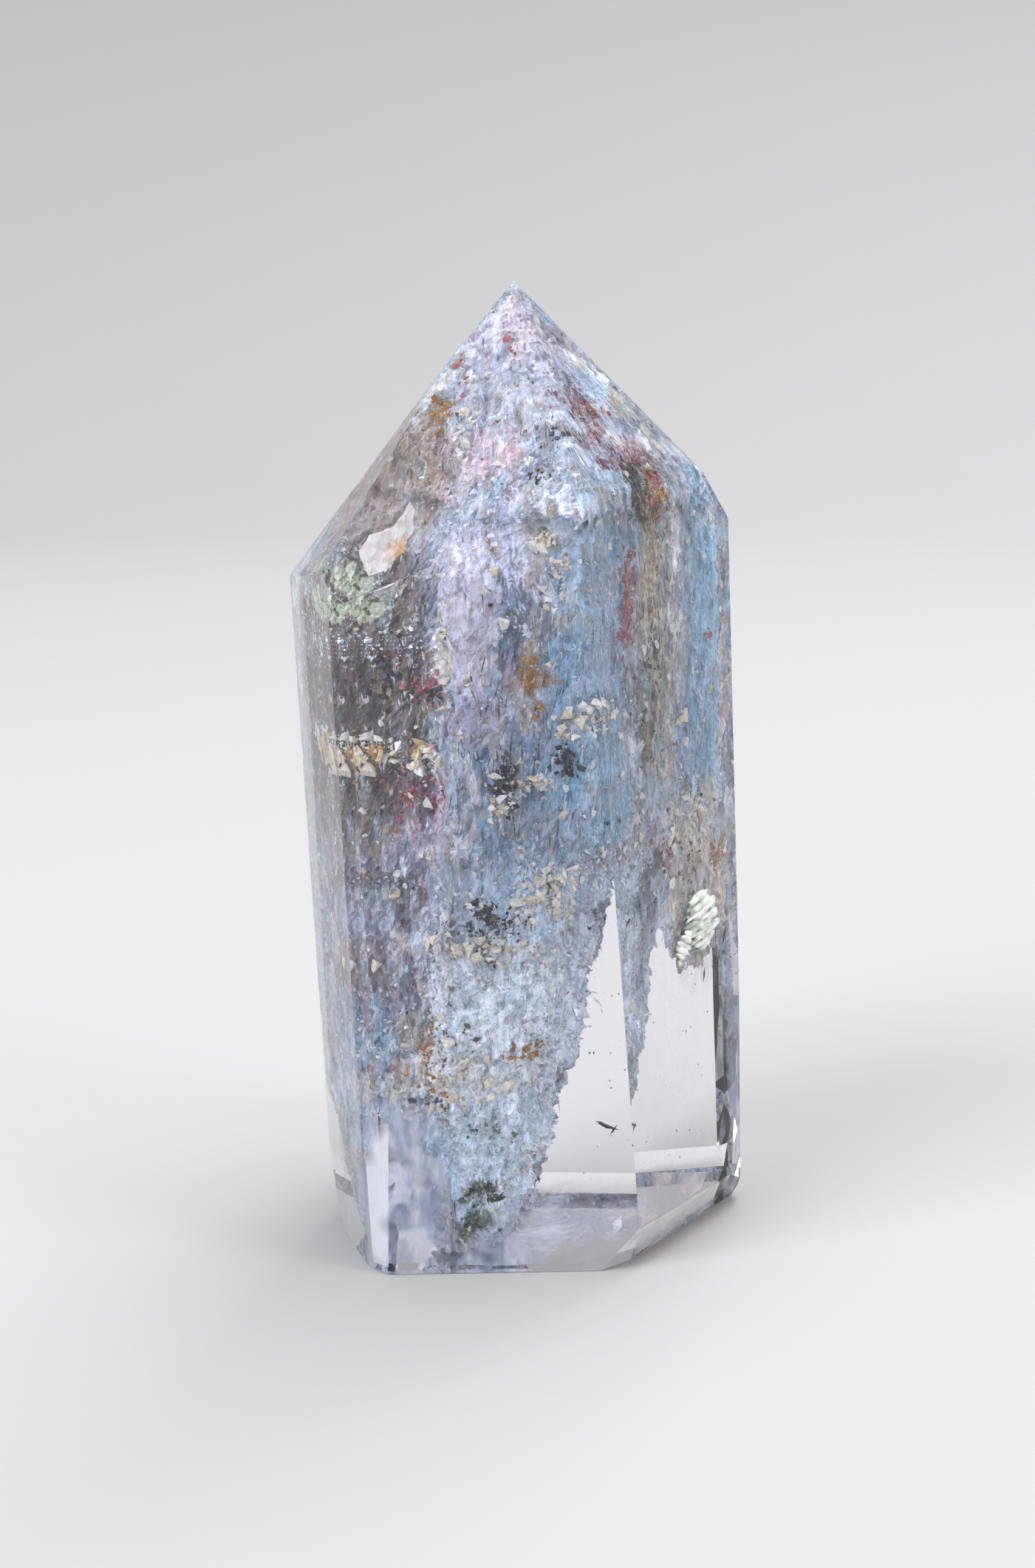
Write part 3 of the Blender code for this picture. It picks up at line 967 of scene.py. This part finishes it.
# Each kind: its name, its colours, the seed of its growth, how many there are, their least and
# greatest size in millimetres, and its clusters.
FLAKE_KINDS = (
    (
        "iron_oxide_flakes",
        ("#B05A6A", "#C8848F", "#8E4450", "#A8745E", "#D8AAB6"),
        37,
        1600,
        (0.12, 0.52),
        (
            ((4.6, -4.6, 49.6), (1.2, 1.5, 0.5), 0.40),
            ((3.4, -3.4, 52.2), (1.6, 1.6, 1.8), 0.50),
            ((6.6, -3.2, 49.8), (1.8, 1.6, 0.9), 0.40),
            ((-0.8, -3.0, 57.0), (0.8, 1.8, 1.2), 0.04),
            ((-3.6, -3.0, 54.6), (0.6, 1.6, 1.6), 0.06),
            ((5.7, -6.2, 41.4), (0.5, 1.5, 3.6), 0.50),
            ((-5.0, -6.4, 36.4), (1.5, 1.5, 0.7), 0.70),
            ((-6.0, -6.4, 30.0), (1.8, 1.6, 1.8), 0.45),
            ((8.4, -2.8, 25.6), (1.4, 1.8, 1.0), 0.35),
            ((-8.0, -6.6, 38.4), (0.6, 1.6, 0.5), 0.06),
            ((7.6, -3.2, 47.4), (0.8, 1.6, 1.2), 0.25),
            ((11.4, 1.8, 38.3), (0.4, 0.8, 0.3), 0.06),
        ),
    ),
    (
        "ochre_flakes",
        ("#B07828", "#C48C3C", "#D2A868", "#96642A", "#C89A64"),
        41,
        1100,
        (0.12, 0.52),
        (
            ((0.5, -8.9, 37.5), (0.35, 1.2, 1.0), 0.90),
            ((1.7, -8.9, 37.3), (0.5, 1.2, 0.4), 0.45),
            ((0.9, -9.0, 35.4), (0.35, 1.2, 0.5), 0.16),
            ((-4.8, -3.6, 52.6), (0.6, 1.2, 0.8), 0.50),
            ((-10.6, -6.6, 32.2), (2.0, 1.8, 0.8), 0.35),
            ((-5.4, -7.6, 12.6), (1.4, 1.8, 2.4), 0.30),
            ((0.6, -8.8, 13.8), (1.6, 1.6, 0.5), 0.50),
            ((7.7, -3.2, 47.2), (0.8, 1.6, 1.2), 0.50),
            ((12.6, 1.2, 24.0), (0.8, 1.6, 1.2), 0.20),
        ),
    ),
    (
        "chlorite_flakes",
        ("#3F4A34", "#5A6148", "#6F7A68", "#2F352E", "#8C9A88"),
        43,
        1050,
        (0.12, 0.48),
        (
            ((-2.6, -7.9, 4.5), (0.9, 1.6, 0.5), 0.80),
            ((-3.4, -7.5, 2.3), (0.7, 1.6, 0.6), 0.55),
            ((-2.6, -8.6, 8.6), (2.0, 1.8, 1.3), 0.08),
            ((-2.2, -9.2, 21.6), (2.4, 1.8, 1.2), 0.30),
            ((-4.4, -8.0, 14.6), (1.6, 1.8, 1.2), 0.12),
            ((-10.2, -6.4, 41.4), (1.8, 1.8, 0.6), 0.03),
            ((6.6, -4.6, 47.8), (0.9, 1.6, 1.6), 0.70),
            ((9.6, -2.0, 24.8), (2.4, 2.4, 2.0), 0.45),
            ((6.8, -4.2, 35.0), (1.0, 2.0, 4.0), 0.35),
        ),
    ),
    (
        "black_specks",
        ("#23242C", "#343A48", "#2E2A2A", "#4A5060"),
        47,
        500,
        (0.14, 0.60),
        (
            ((1.9, -5.6, 51.0), (0.9, 1.5, 0.6), 0.06),
            ((1.2, -7.6, 48.9), (0.8, 1.5, 0.4), 0.12),
            ((2.7, -9.6, 32.3), (0.6, 1.2, 0.9), 0.35),
            ((-1.0, -9.6, 30.8), (0.7, 1.2, 1.2), 0.60),
            ((-1.8, -9.4, 22.4), (1.8, 1.5, 0.8), 0.35),
            ((-5.2, -7.6, 10.4), (1.6, 1.5, 0.25), 0.20),
            ((-5.0, -7.0, 36.0), (1.0, 1.5, 0.5), 0.20),
            ((-8.2, -6.6, 37.6), (0.9, 1.5, 1.8), 0.20),
        ),
    ),
)

for flake_name, flake_colours, seed, count, reach, clusters in FLAKE_KINDS:
    flake_rng = np.random.default_rng(seed)
    grown_on(
        flake_name,
        crystal_material(flake_name.replace("flakes", "plates"), flake_colours, 0.45),
        flake_rng,
        [FLAKE],
        seats(flake_rng, count, clusters, even=0.22),
        flake_sizes(flake_rng, count, *reach),
        sway=0.9,
        tilt=0.7,
        lift=1.0,
        rough=0.45,
    )


# The feldspar plate
# One broken plate of feldspar with a curved horn, cream, and ochre at its lower rim. It stands
# in the clear quartz in front of the mass, on the left of the point.
PLATE_OUTLINE = (
    (1.17, 2.54), (1.56, 1.95), (1.51, 0.83), (0.93, -0.15), (0.93, -0.78), (0.39, -1.41),
    (-0.10, -2.05), (-1.02, -2.39), (-1.51, -1.56), (-1.76, -0.63), (-1.27, 0.34), (-0.59, 0.54),
    (0.10, 0.80), (0.80, 1.50),
)
PLATE_MIDDLE = (-7.75, -6.8, 44.8)
PLATE_THICKNESS = 0.45
PLATE_WRINKLE = 0.22
PLATE_IOR = 1.53
CLOUDS_PER_MM = 1.6
STAIN_RAGGED = 1.6 * MM
PLATE_PITS = 0.12 * MM

# Noise that pushes a corner in three directions starts from a random offset, unless it is seeded.
WRINKLE_SEED = 71
noise.seed_set(WRINKLE_SEED)


def broken_plate(name, outline, place, thickness, wrinkle, material):
    """A thin plate with this outline in millimetres, facing the front, with a wrinkled skin."""
    bm = bmesh.new()
    rim = [bm.verts.new((x * MM, 0.0, z * MM)) for x, z in outline]
    face = bm.faces.new(rim)
    bmesh.ops.triangulate(bm, faces=[face])
    bmesh.ops.subdivide_edges(bm, edges=bm.edges[:], cuts=5, use_grid_fill=True)
    bmesh.ops.recalc_face_normals(bm, faces=bm.faces)
    bmesh.ops.solidify(bm, geom=bm.faces[:], thickness=thickness * MM)
    for vertex in bm.verts:
        at = vertex.co / MM
        shove = noise.noise_vector(at * 1.3) * wrinkle
        shove += noise.noise_vector(at * 4.0) * wrinkle * 0.35
        vertex.co = (at + shove) * MM + Vector(place) * MM
    bmesh.ops.recalc_face_normals(bm, faces=bm.faces)
    mesh = bpy.data.meshes.new(name)
    bm.to_mesh(mesh)
    bm.free()
    piece = new_piece(name, mesh, material)
    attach(piece, "root")


def stained_mineral(name, clean, shaded, stain, stain_middle, stain_reach, roughness):
    """One mineral plate: clean and shaded in soft clouds, with a stain round one point of it."""
    material, tree, output = new_material(name)
    place = add_node(tree, "TexCoord").outputs["Object"]
    clouds = add_node(
        tree,
        "TexNoise",
        {"Scale": CLOUDS_PER_MM / MM, "Detail": 6.0, "Roughness": 0.65},
        {"Vector": place},
    )
    body = add_node(
        tree, "ValToRGB", {"stops": ((0.38, shaded), (0.60, clean))}, {"Fac": clouds.outputs["Fac"]}
    )
    away = add_node(
        tree, "VectorMath", {"operation": "DISTANCE", 1: [c * MM for c in stain_middle]}, {0: place}
    )
    ragged = add_node(
        tree,
        "Math",
        {"operation": "MULTIPLY_ADD", 1: STAIN_RAGGED},
        {0: clouds.outputs["Fac"], 2: away.outputs["Value"]},
    )
    share = add_node(
        tree,
        "MapRange",
        {1: (stain_reach + 1.2) * MM, 2: (stain_reach + 0.4) * MM, 4: 0.9},
        {0: ragged.outputs[0]},
    )
    mixed = add_node(
        tree,
        "Mix",
        {"data_type": "RGBA", 7: linear(stain)},
        {0: share.outputs[0], 6: body.outputs[0]},
    )
    relief = add_node(
        tree, "Bump", {"Strength": 0.7, "Distance": PLATE_PITS}, {"Height": clouds.outputs["Fac"]}
    )
    shader = add_node(
        tree,
        "BsdfPrincipled",
        {"Roughness": roughness, "IOR": PLATE_IOR},
        {"Base Color": mixed.outputs[2], "Normal": relief.outputs[0]},
    )
    tree.links.new(shader.outputs[0], output.inputs["Surface"])
    return material


broken_plate(
    "feldspar_plate",
    PLATE_OUTLINE,
    PLATE_MIDDLE,
    PLATE_THICKNESS,
    PLATE_WRINKLE,
    stained_mineral(
        "cream_feldspar_plate", "#FFFFFC", "#F0E2DC", "#E8B050", (-6.7, -6.8, 44.0), 0.9, 0.3
    ),
)


# The ribbed ovals
# Two small stacks of chlorite plates, grown like piles of coins, milky green. They hang just
# under the right face, below the shoulder of the mass.
RIB_SIDES = 14
RIB_RINGS = 6
RIB_THICKNESS = 0.62
RIB_DEPTH = 0.35
RIB_ROUGH = 0.6
ALONG_RIGHT_FACE = (math.cos(CURTAIN_TURN), math.sin(CURTAIN_TURN), 0.0)


def ribbed_oval(name, place, axis, length, width, ribs, material):
    """A stack of thin rounded discs along an axis, widest in the middle of the stack."""
    bm = bmesh.new()
    up = Vector(axis).normalized()
    side = (Vector(ALONG_RIGHT_FACE) - up * up.dot(ALONG_RIGHT_FACE)).normalized()
    turn = Matrix((side, up.cross(side), up)).transposed().to_4x4()
    for rib in range(ribs):
        share = (rib + 0.5) / ribs * 2 - 1
        uneven = noise.noise_vector(Vector((rib * 0.9, 2.0, length)))
        radius = width / 2 * math.sqrt(1 - 0.85 * share * share) * (1 + 0.25 * uneven.x)
        shift = uneven.y * 0.3
        made = bmesh.ops.create_uvsphere(
            bm, u_segments=RIB_SIDES, v_segments=RIB_RINGS, radius=1.0, matrix=Matrix.Identity(4)
        )
        for vertex in made["verts"]:
            rough = 1 + RIB_ROUGH * noise.noise(vertex.co * 2.6 + Vector((rib * 3.1, 0, 0)))
            vertex.co = Vector(
                (
                    (vertex.co.x * radius * rough + shift) * MM,
                    vertex.co.y * radius * RIB_DEPTH * rough * MM,
                    (vertex.co.z * length / ribs * RIB_THICKNESS * rough + share * length / 2) * MM,
                )
            )
    bmesh.ops.transform(bm, matrix=Matrix.Translation(Vector(place) * MM) @ turn, verts=bm.verts)
    mesh = bpy.data.meshes.new(name)
    bm.to_mesh(mesh)
    bm.free()
    mesh.shade_smooth()
    piece = new_piece(name, mesh, material)
    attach(piece, "root")


rib_green = stained_mineral(
    "milky_chlorite", "#F4F8F6", "#A9B4AC", "#B9A98E", (10.4, -1.8, 18.4), 0.8, 0.5
)
ribbed_oval("ribbed_oval", (11.45, -2.3, 20.3), (-0.16, -0.2, 1.0), 3.7, 3.5, 9, rib_green)
ribbed_oval("small_oval", (10.3, -4.2, 19.0), (0.35, 0.35, 1.0), 2.4, 1.6, 6, rib_green)


# Healed veils and painted reflections
# Old cracks that the quartz healed again, left as thin sheets of tiny bubbles, milky and streaked:
# wavy in the clear foot, by the shoulder and in the point. The flat sheets just under the foot's
# facets are painted reflections: white for the shine of the bevels, pinkish for the right bevel
# mirrored inside the right face.
VEIL_GRID = 48
VEIL_IOR = 1.5
QUARTZ_OVER_VEILS = 0.1 * MM
BARE_PLACES_PER_MM = 0.35


def bubble_veil(name, colour, least, most, streak_scale):
    """Sheets of bubbles too fine to see, as a soft milky film, streaked and gone in places; also
    painted reflections.
    """
    material, tree, output = new_material(name)
    place = add_node(tree, "TexCoord").outputs["Object"]
    drawn = add_node(
        tree, "VectorMath", {"operation": "MULTIPLY", 1: [s / MM for s in streak_scale]}, {0: place}
    )
    streaks = add_node(
        tree,
        "TexNoise",
        {"Scale": 1.0, "Detail": 3.0, "Roughness": 0.68},
        {"Vector": drawn.outputs[0]},
    )
    bare = add_node(
        tree,
        "TexNoise",
        {"Scale": BARE_PLACES_PER_MM / MM, "Detail": 1.0, "Roughness": 0.5},
        {"Vector": place},
    )
    thick = add_node(
        tree, "MapRange", {1: 0.42, 2: 0.66, 3: least, 4: most}, {0: streaks.outputs["Fac"]}
    )
    there = add_node(tree, "MapRange", {1: 0.36, 2: 0.56, 3: 0.1, 4: 1.0}, {0: bare.outputs["Fac"]})
    fade = add_node(tree, "Attribute", {"attribute_name": "rim"})
    shown = add_node(
        tree, "Math", {"operation": "MULTIPLY"}, {0: thick.outputs[0], 1: there.outputs[0]}
    )
    faded = add_node(
        tree, "Math", {"operation": "MULTIPLY"}, {0: shown.outputs[0], 1: fade.outputs["Fac"]}
    )
    tint = add_node(
        tree,
        "ValToRGB",
        {"stops": ((0.40, colour), (0.70, "#F4F4FA"))},
        {"Fac": streaks.outputs["Fac"]},
    )
    shader = add_node(
        tree,
        "BsdfPrincipled",
        {"Roughness": 0.6, "IOR": VEIL_IOR},
        {"Base Color": tint.outputs[0], "Alpha": faded.outputs[0]},
    )
    tree.links.new(shader.outputs[0], output.inputs["Surface"])
    return material


def sheet_piece(name, points, rims, material):
    """A sheet from a grid of points, where it lies under the skin and its rim value isn't 0."""
    depths = depth_in_stone(np.array([tuple(point) for point in points]))
    wide = VEIL_GRID + 1
    faces = []
    for row in range(VEIL_GRID):
        for column in range(VEIL_GRID):
            first = row * wide + column
            face = (first, first + 1, first + wide + 1, first + wide)
            under_skin = min(depths[corner] for corner in face) > QUARTZ_OVER_VEILS
            if under_skin and max(rims[corner] for corner in face) > 0:
                faces.append(face)
    used = sorted({corner for face in faces for corner in face})
    number = {old: new for new, old in enumerate(used)}
    mesh = bpy.data.meshes.new(name)
    kept_points = [tuple(points[corner]) for corner in used]
    mesh.from_pydata(kept_points, [], [[number[corner] for corner in face] for face in faces])
    rim = mesh.attributes.new("rim", "FLOAT", "POINT")
    rim.data.foreach_set("value", [rims[corner] for corner in used])
    mesh.shade_smooth()
    piece = new_piece(name, mesh, material)
    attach(piece, "root")


def veil(name, middle, across, along, wave, material):
    """A wavy sheet round a middle point, reaching out by across and along, in millimetres."""
    across, along, middle = Vector(across), Vector(along), Vector(middle)
    out = across.cross(along).normalized()
    points, rims = [], []
    for row in range(VEIL_GRID + 1):
        for column in range(VEIL_GRID + 1):
            u, v = 2 * column / VEIL_GRID - 1, 2 * row / VEIL_GRID - 1
            at = middle + across * u + along * v
            at += out * wave * noise.fractal(at * 0.28, 0.7, 2.0, 3)
            points.append(at * MM)
            rims.append(max(0.0, 1 - (u * u + v * v) ** 1.5))
    sheet_piece(name, points, rims, material)


def flat_painted_reflection(name, corners, material):
    """A flat sheet between four corners in millimetres, with sharp edges, that holds a painted
    reflection.
    """
    first, second, third, fourth = (Vector(corner) for corner in corners)
    points = []
    for row in range(VEIL_GRID + 1):
        for column in range(VEIL_GRID + 1):
            u, v = column / VEIL_GRID, row / VEIL_GRID
            points.append(first.lerp(second, u).lerp(fourth.lerp(third, u), v) * MM)
    sheet_piece(name, points, [1.0] * len(points), material)


milky_veil = bubble_veil("milky_bubble_veil", "#BAC6EA", 0.50, 0.94, (0.7, 0.7, 0.22))
lavender_veil = bubble_veil("lavender_bubble_veil", "#C2BEDA", 0.10, 0.85, (1.6, 1.6, 0.35))
smoky_veil = bubble_veil("smoky_bubble_veil", "#A89C9A", 0.05, 0.70, (1.8, 1.8, 0.5))
fine_veil = bubble_veil("fine_bubble_veil", "#D4C8CC", 0.0, 0.45, (0.8, 0.8, 0.4))
wispy_veil = bubble_veil("wispy_bubble_veil", "#E0DCF0", 0.35, 0.98, (0.35, 0.35, 1.3))
# These two films are painted reflections, not bubbles: white for the shine of the foot's bevels,
# pinkish for the right bevel mirrored inside the right face.
painted_white_reflection = bubble_veil("white_painted_reflection_film", "#FFFFFF", 0.85, 0.98, (0.5, 0.5, 0.3))
painted_pink_reflection = bubble_veil("pinkish_painted_reflection_film", "#E2D4DA", 0.55, 0.95, (0.6, 0.6, 0.6))
veil("foot_veil_left", (-7.2, -8.8, 4.6), (3.4, -1.0, 0.0), (0.4, 0.3, 7.0), 0.8, milky_veil)
veil("foot_veil_deep", (-7.0, -3.0, 4.2), (5.0, -1.5, 0.0), (0.0, 1.2, 5.4), 1.2, lavender_veil)
veil("foot_veil_front", (-2.3, -9.6, 0.9), (4.6, 0.2, 0.0), (0.0, 0.3, 1.6), 0.2, milky_veil)
veil("foot_veil_right", (3.6, -8.8, 2.9), (4.4, 0.8, 0.5), (0.2, 0.6, 2.9), 0.5, wispy_veil)
veil("foot_veil_low", (1.6, -6.4, 1.8), (5.0, 0.4, 0.3), (0.0, 2.4, 0.9), 0.6, milky_veil)
# Painted reflection: a white sheet where the foot's front-left facet shines.
flat_painted_reflection(
    "painted_reflection_edge_left",
    ((-9.7, -10.0, 9.4), (-8.2, -10.98, 9.8), (-8.3, -10.98, 0.4), (-9.25, -10.2, 0.4)),
    painted_white_reflection,
)
# Painted reflection: a pinkish sheet for the right bevel, mirrored inside the right face.
flat_painted_reflection(
    "painted_reflection_corner_right",
    ((7.35, -9.95, 2.7), (7.1, -10.05, 6.2), (12.0, -2.8, 3.5), (11.6, -3.6, 2.65)),
    painted_pink_reflection,
)
# Painted reflection: a white sheet where the right bevel of the foot shines.
flat_painted_reflection(
    "painted_reflection_bevel_right",
    ((7.3, -10.0, 2.55), (13.7, -0.3, 2.35), (12.6, -0.3, 0.25), (6.9, -8.8, 0.25)),
    painted_white_reflection,
)
veil("edge_veil_right", (14.0, 1.5, 10.0), (0.6, 1.55, 0.0), (-0.3, 0.0, 11.0), 0.0, milky_veil)
veil("shoulder_veil", (10.9, -1.2, 20.4), (2.4, 3.7, 0.0), (-0.5, 0.3, 5.4), 0.5, smoky_veil)
veil("point_veil_left", (-7.6, -6.6, 48.2), (3.0, -1.6, 3.2), (1.4, 2.2, -4.2), 0.9, fine_veil)
veil("point_veil_across", (-2.0, -8.2, 45.6), (4.6, -0.6, 0.9), (0.0, 2.6, 0.9), 0.5, fine_veil)


# Stray specks
# Single grains that the quartz closed over as it grew, so they hang in the clear part: fine dust
# everywhere, and on the right a few black splinters and white chips.
SPLINTERS = (
    ((5.3, -7.6, 8.8), (0.34, 0.3, 1.3), (0.9, 0.2, -0.35)),
    ((5.7, -7.5, 8.5), (0.26, 0.2, 0.8), (-0.5, 0.3, -0.8)),
    ((4.9, -7.4, 9.0), (0.14, 0.14, 0.6), (-0.8, 0.2, 0.2)),
    ((12.6, 0.0, 17.0), (0.30, 0.26, 1.3), (0.2, 0.2, 1.0)),
    ((11.6, -1.6, 16.6), (0.26, 0.24, 0.9), (0.1, 0.2, 1.0)),
    ((13.1, 0.9, 18.6), (0.30, 0.26, 1.5), (0.25, 0.3, 1.0)),
)
WHITE_CHIPS = (
    ((6.0, -9.7, 2.75), (1.3, 0.8, 1.4), (0.4, 0.2, 1.0)),
    ((5.5, -6.6, 13.4), (0.28, 0.22, 0.34), (0.2, 0.2, 1.0)),
    ((5.5, -7.6, 8.2), (0.12, 0.12, 0.55), (0.9, 0.1, -0.3)),
    ((4.6, -7.8, 17.0), (0.18, 0.14, 1.1), (0.7, 0.2, -0.8)),
    ((4.9, -7.8, 16.4), (0.16, 0.14, 0.9), (0.3, 0.2, -1.0)),
    ((4.3, -7.8, 17.6), (0.16, 0.14, 0.8), (1.0, 0.2, -0.4)),
)


def sealed_chips(name, chips, material, seed):
    """One joined mesh of single crystals: each has its place, its sizes in mm and its axis."""
    rng = np.random.default_rng(seed)
    corners, faces = SLIVER
    points, polygons = [], []
    for place, sizes, axis in chips:
        turn = Vector(axis).to_track_quat("Z", "Y")
        polygons += [[len(points) + corner for corner in face] for face in faces]
        for corner in corners * np.array(sizes) * (1 + rng.uniform(-0.3, 0.3, corners.shape)):
            points.append((turn @ Vector(corner) + Vector(place)) * MM)
    mesh = bpy.data.meshes.new(name)
    mesh.from_pydata(points, [], polygons)
    piece = new_piece(name, mesh, material)
    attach(piece, "root")


splinter_black = crystal_material("black_splinters", ("#1F1D20", "#35302F"), 0.35)
chip_white = crystal_material("white_chips", ("#FFFFFF", "#EDEFF6"), 0.25)
sealed_chips("black_splinters", SPLINTERS, splinter_black, 61)
sealed_chips("white_chips", WHITE_CHIPS, chip_white, 67)

STRAY_COUNT = 260
STRAY_DEEP = 0.5 * MM
STRAY_OFF_MASS = 0.3 * MM


def stray_specks():
    """One joined mesh of small grains, strewn through the clear quartz outside the mass."""
    rng = np.random.default_rng(53)
    low, high = np.array(cad_low), np.array(cad_high)
    skin_faces = [tuple(face.vertices) for face in garden.data.polygons]
    tree = BVHTree.FromPolygons([tuple(point) for point in SKIN_POINTS], skin_faces)
    places = []
    while len(places) < STRAY_COUNT:
        place = low + (high - low) * rng.uniform(0, 1, 3)
        if depth_in_stone(place[None])[0] < STRAY_DEEP:
            continue
        nearest, normal, face, distance = tree.find_nearest(Vector(place))
        if (Vector(place) - nearest).dot(normal) > STRAY_OFF_MASS:
            places.append(place)
    corners, faces = SLIVER
    sizes = grain_sizes(rng, STRAY_COUNT, 0.04, 0.22)
    shapes = corners[None] * sizes[:, None, :] * MM
    shapes = shapes * (1 + rng.uniform(-0.3, 0.3, shapes.shape))
    points = (shapes + np.array(places)[:, None, :]).reshape(-1, 3)
    starts = range(0, len(points), len(corners))
    polygons = [[start + corner for corner in face] for start in starts for face in faces]
    mesh = bpy.data.meshes.new("stray_specks")
    mesh.from_pydata(points.tolist(), [], polygons)
    grains = crystal_material("stray_grains", ("#2E2C2E", "#F0F0F4", "#8A6A52", "#C8CEDC"))
    piece = new_piece("stray_specks", mesh, grains)
    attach(piece, "root")


stray_specks()


# The studio
# A plain pale bowl of matt paper with a flat floor, which takes soft shadows and hardly shines.
# Soft light falls from all round, most of it from above and from the left.
FLOOR_UNDER = 0.06 * MM
FLOOR_RADIUS = 0.45
BOWL_RADIUS = 0.95
BOWL_HEIGHT = 0.75
BOWL_STEPS = 12
BOWL_SIDES = 96
BOWL_WELD = 0.1 * MM
FLOOR_PALE = "#989694"


def studio_bowl():
    """A flat round floor that turns up into a wall all round, as one smooth lathed surface."""
    material, tree, output = new_material("matt_paper")
    shader = add_node(
        tree, "BsdfPrincipled", {"Base Color": linear(FLOOR_PALE), "Roughness": 0.85}
    )
    tree.links.new(shader.outputs[0], output.inputs["Surface"])
    profile = [(0.0, -FLOOR_UNDER), (FLOOR_RADIUS, -FLOOR_UNDER)]
    for step in range(1, BOWL_STEPS + 1):
        turn = math.pi / 2 * step / BOWL_STEPS
        profile.append(
            (
                FLOOR_RADIUS + (BOWL_RADIUS - FLOOR_RADIUS) * math.sin(turn),
                BOWL_HEIGHT * (1 - math.cos(turn)),
            )
        )
    bm = bmesh.new()
    rim = [bm.verts.new((radius, 0.0, height)) for radius, height in profile]
    edges = [bm.edges.new(pair) for pair in zip(rim, rim[1:])]
    bmesh.ops.spin(
        bm, geom=rim + edges, axis=(0, 0, 1), cent=(0, 0, 0), angle=2 * math.pi, steps=BOWL_SIDES
    )
    bmesh.ops.remove_doubles(bm, verts=bm.verts, dist=BOWL_WELD)
    bmesh.ops.recalc_face_normals(bm, faces=bm.faces)
    mesh = bpy.data.meshes.new("studio_bowl")
    bm.to_mesh(mesh)
    bm.free()
    mesh.shade_smooth()
    return new_piece("studio_bowl", mesh, material)


studio_bowl()


def soft_light(name, place, size, watts, colour):
    """A large rectangular light, aimed at the middle of the stone."""
    lamp = bpy.data.lights.new(name, "AREA")
    lamp.shape = "RECTANGLE"
    lamp.size, lamp.size_y = size
    lamp.energy = watts
    lamp.color = linear(colour)[:3]
    light = bpy.data.objects.new(name, lamp)
    light.location = place
    aim = Vector((0.0, 0.0, cad_high.z / 2)) - Vector(place)
    light.rotation_euler = aim.to_track_quat("-Z", "Y").to_euler()
    bpy.context.scene.collection.objects.link(light)


soft_light("window_left", (-0.45, -0.35, 0.45), (0.35, 0.45), 6.5, "#F2F6FF")
soft_light("window_above", (0.10, 0.10, 0.75), (0.60, 0.60), 6.5, "#FFFFFF")
soft_light("fill_right", (0.55, -0.30, 0.30), (0.25, 0.40), 2.0, "#FFF6EC")
soft_light("fill_behind", (0.25, 0.50, 0.55), (0.35, 0.35), 3.0, "#F6F8FF")

ROOM_COLOUR = "#E6ECF6"
ROOM_STRENGTH = 0.95
world = bpy.data.worlds.new("studio_light")
bpy.context.scene.world = world
world.use_nodes = True
room = world.node_tree.nodes["Background"]
room.inputs["Color"].default_value = linear(ROOM_COLOUR)
room.inputs["Strength"].default_value = ROOM_STRENGTH

# The photograph's frame is 2122 pixels high, and its lens sees this many pixels per radian.
PHOTO_HEIGHT = 2122
PHOTO_FOCUS = 3200
CAMERA_PLACE = (-0.25 * MM, -149.2 * MM, 60.0 * MM)
CAMERA_PITCH = math.radians(11.8)

lens = bpy.data.cameras.new("camera")
lens.angle = 2 * math.atan(PHOTO_HEIGHT / 2 / PHOTO_FOCUS)
lens.clip_start = 1 * MM
camera = bpy.data.objects.new("camera", lens)
camera.location = CAMERA_PLACE
camera.rotation_euler = (math.pi / 2 - CAMERA_PITCH, 0.0, 0.0)
bpy.context.scene.collection.objects.link(camera)
bpy.context.scene.camera = camera

# Light crosses the faces of the stone and its veils many times before it leaves.
CLEAR_BOUNCES = 12
DIFFUSE_BOUNCES = 3
bpy.context.scene.view_settings.view_transform = "Standard"
bpy.context.scene.cycles.max_bounces = CLEAR_BOUNCES
bpy.context.scene.cycles.transmission_bounces = CLEAR_BOUNCES
bpy.context.scene.cycles.transparent_max_bounces = CLEAR_BOUNCES
bpy.context.scene.cycles.diffuse_bounces = DIFFUSE_BOUNCES
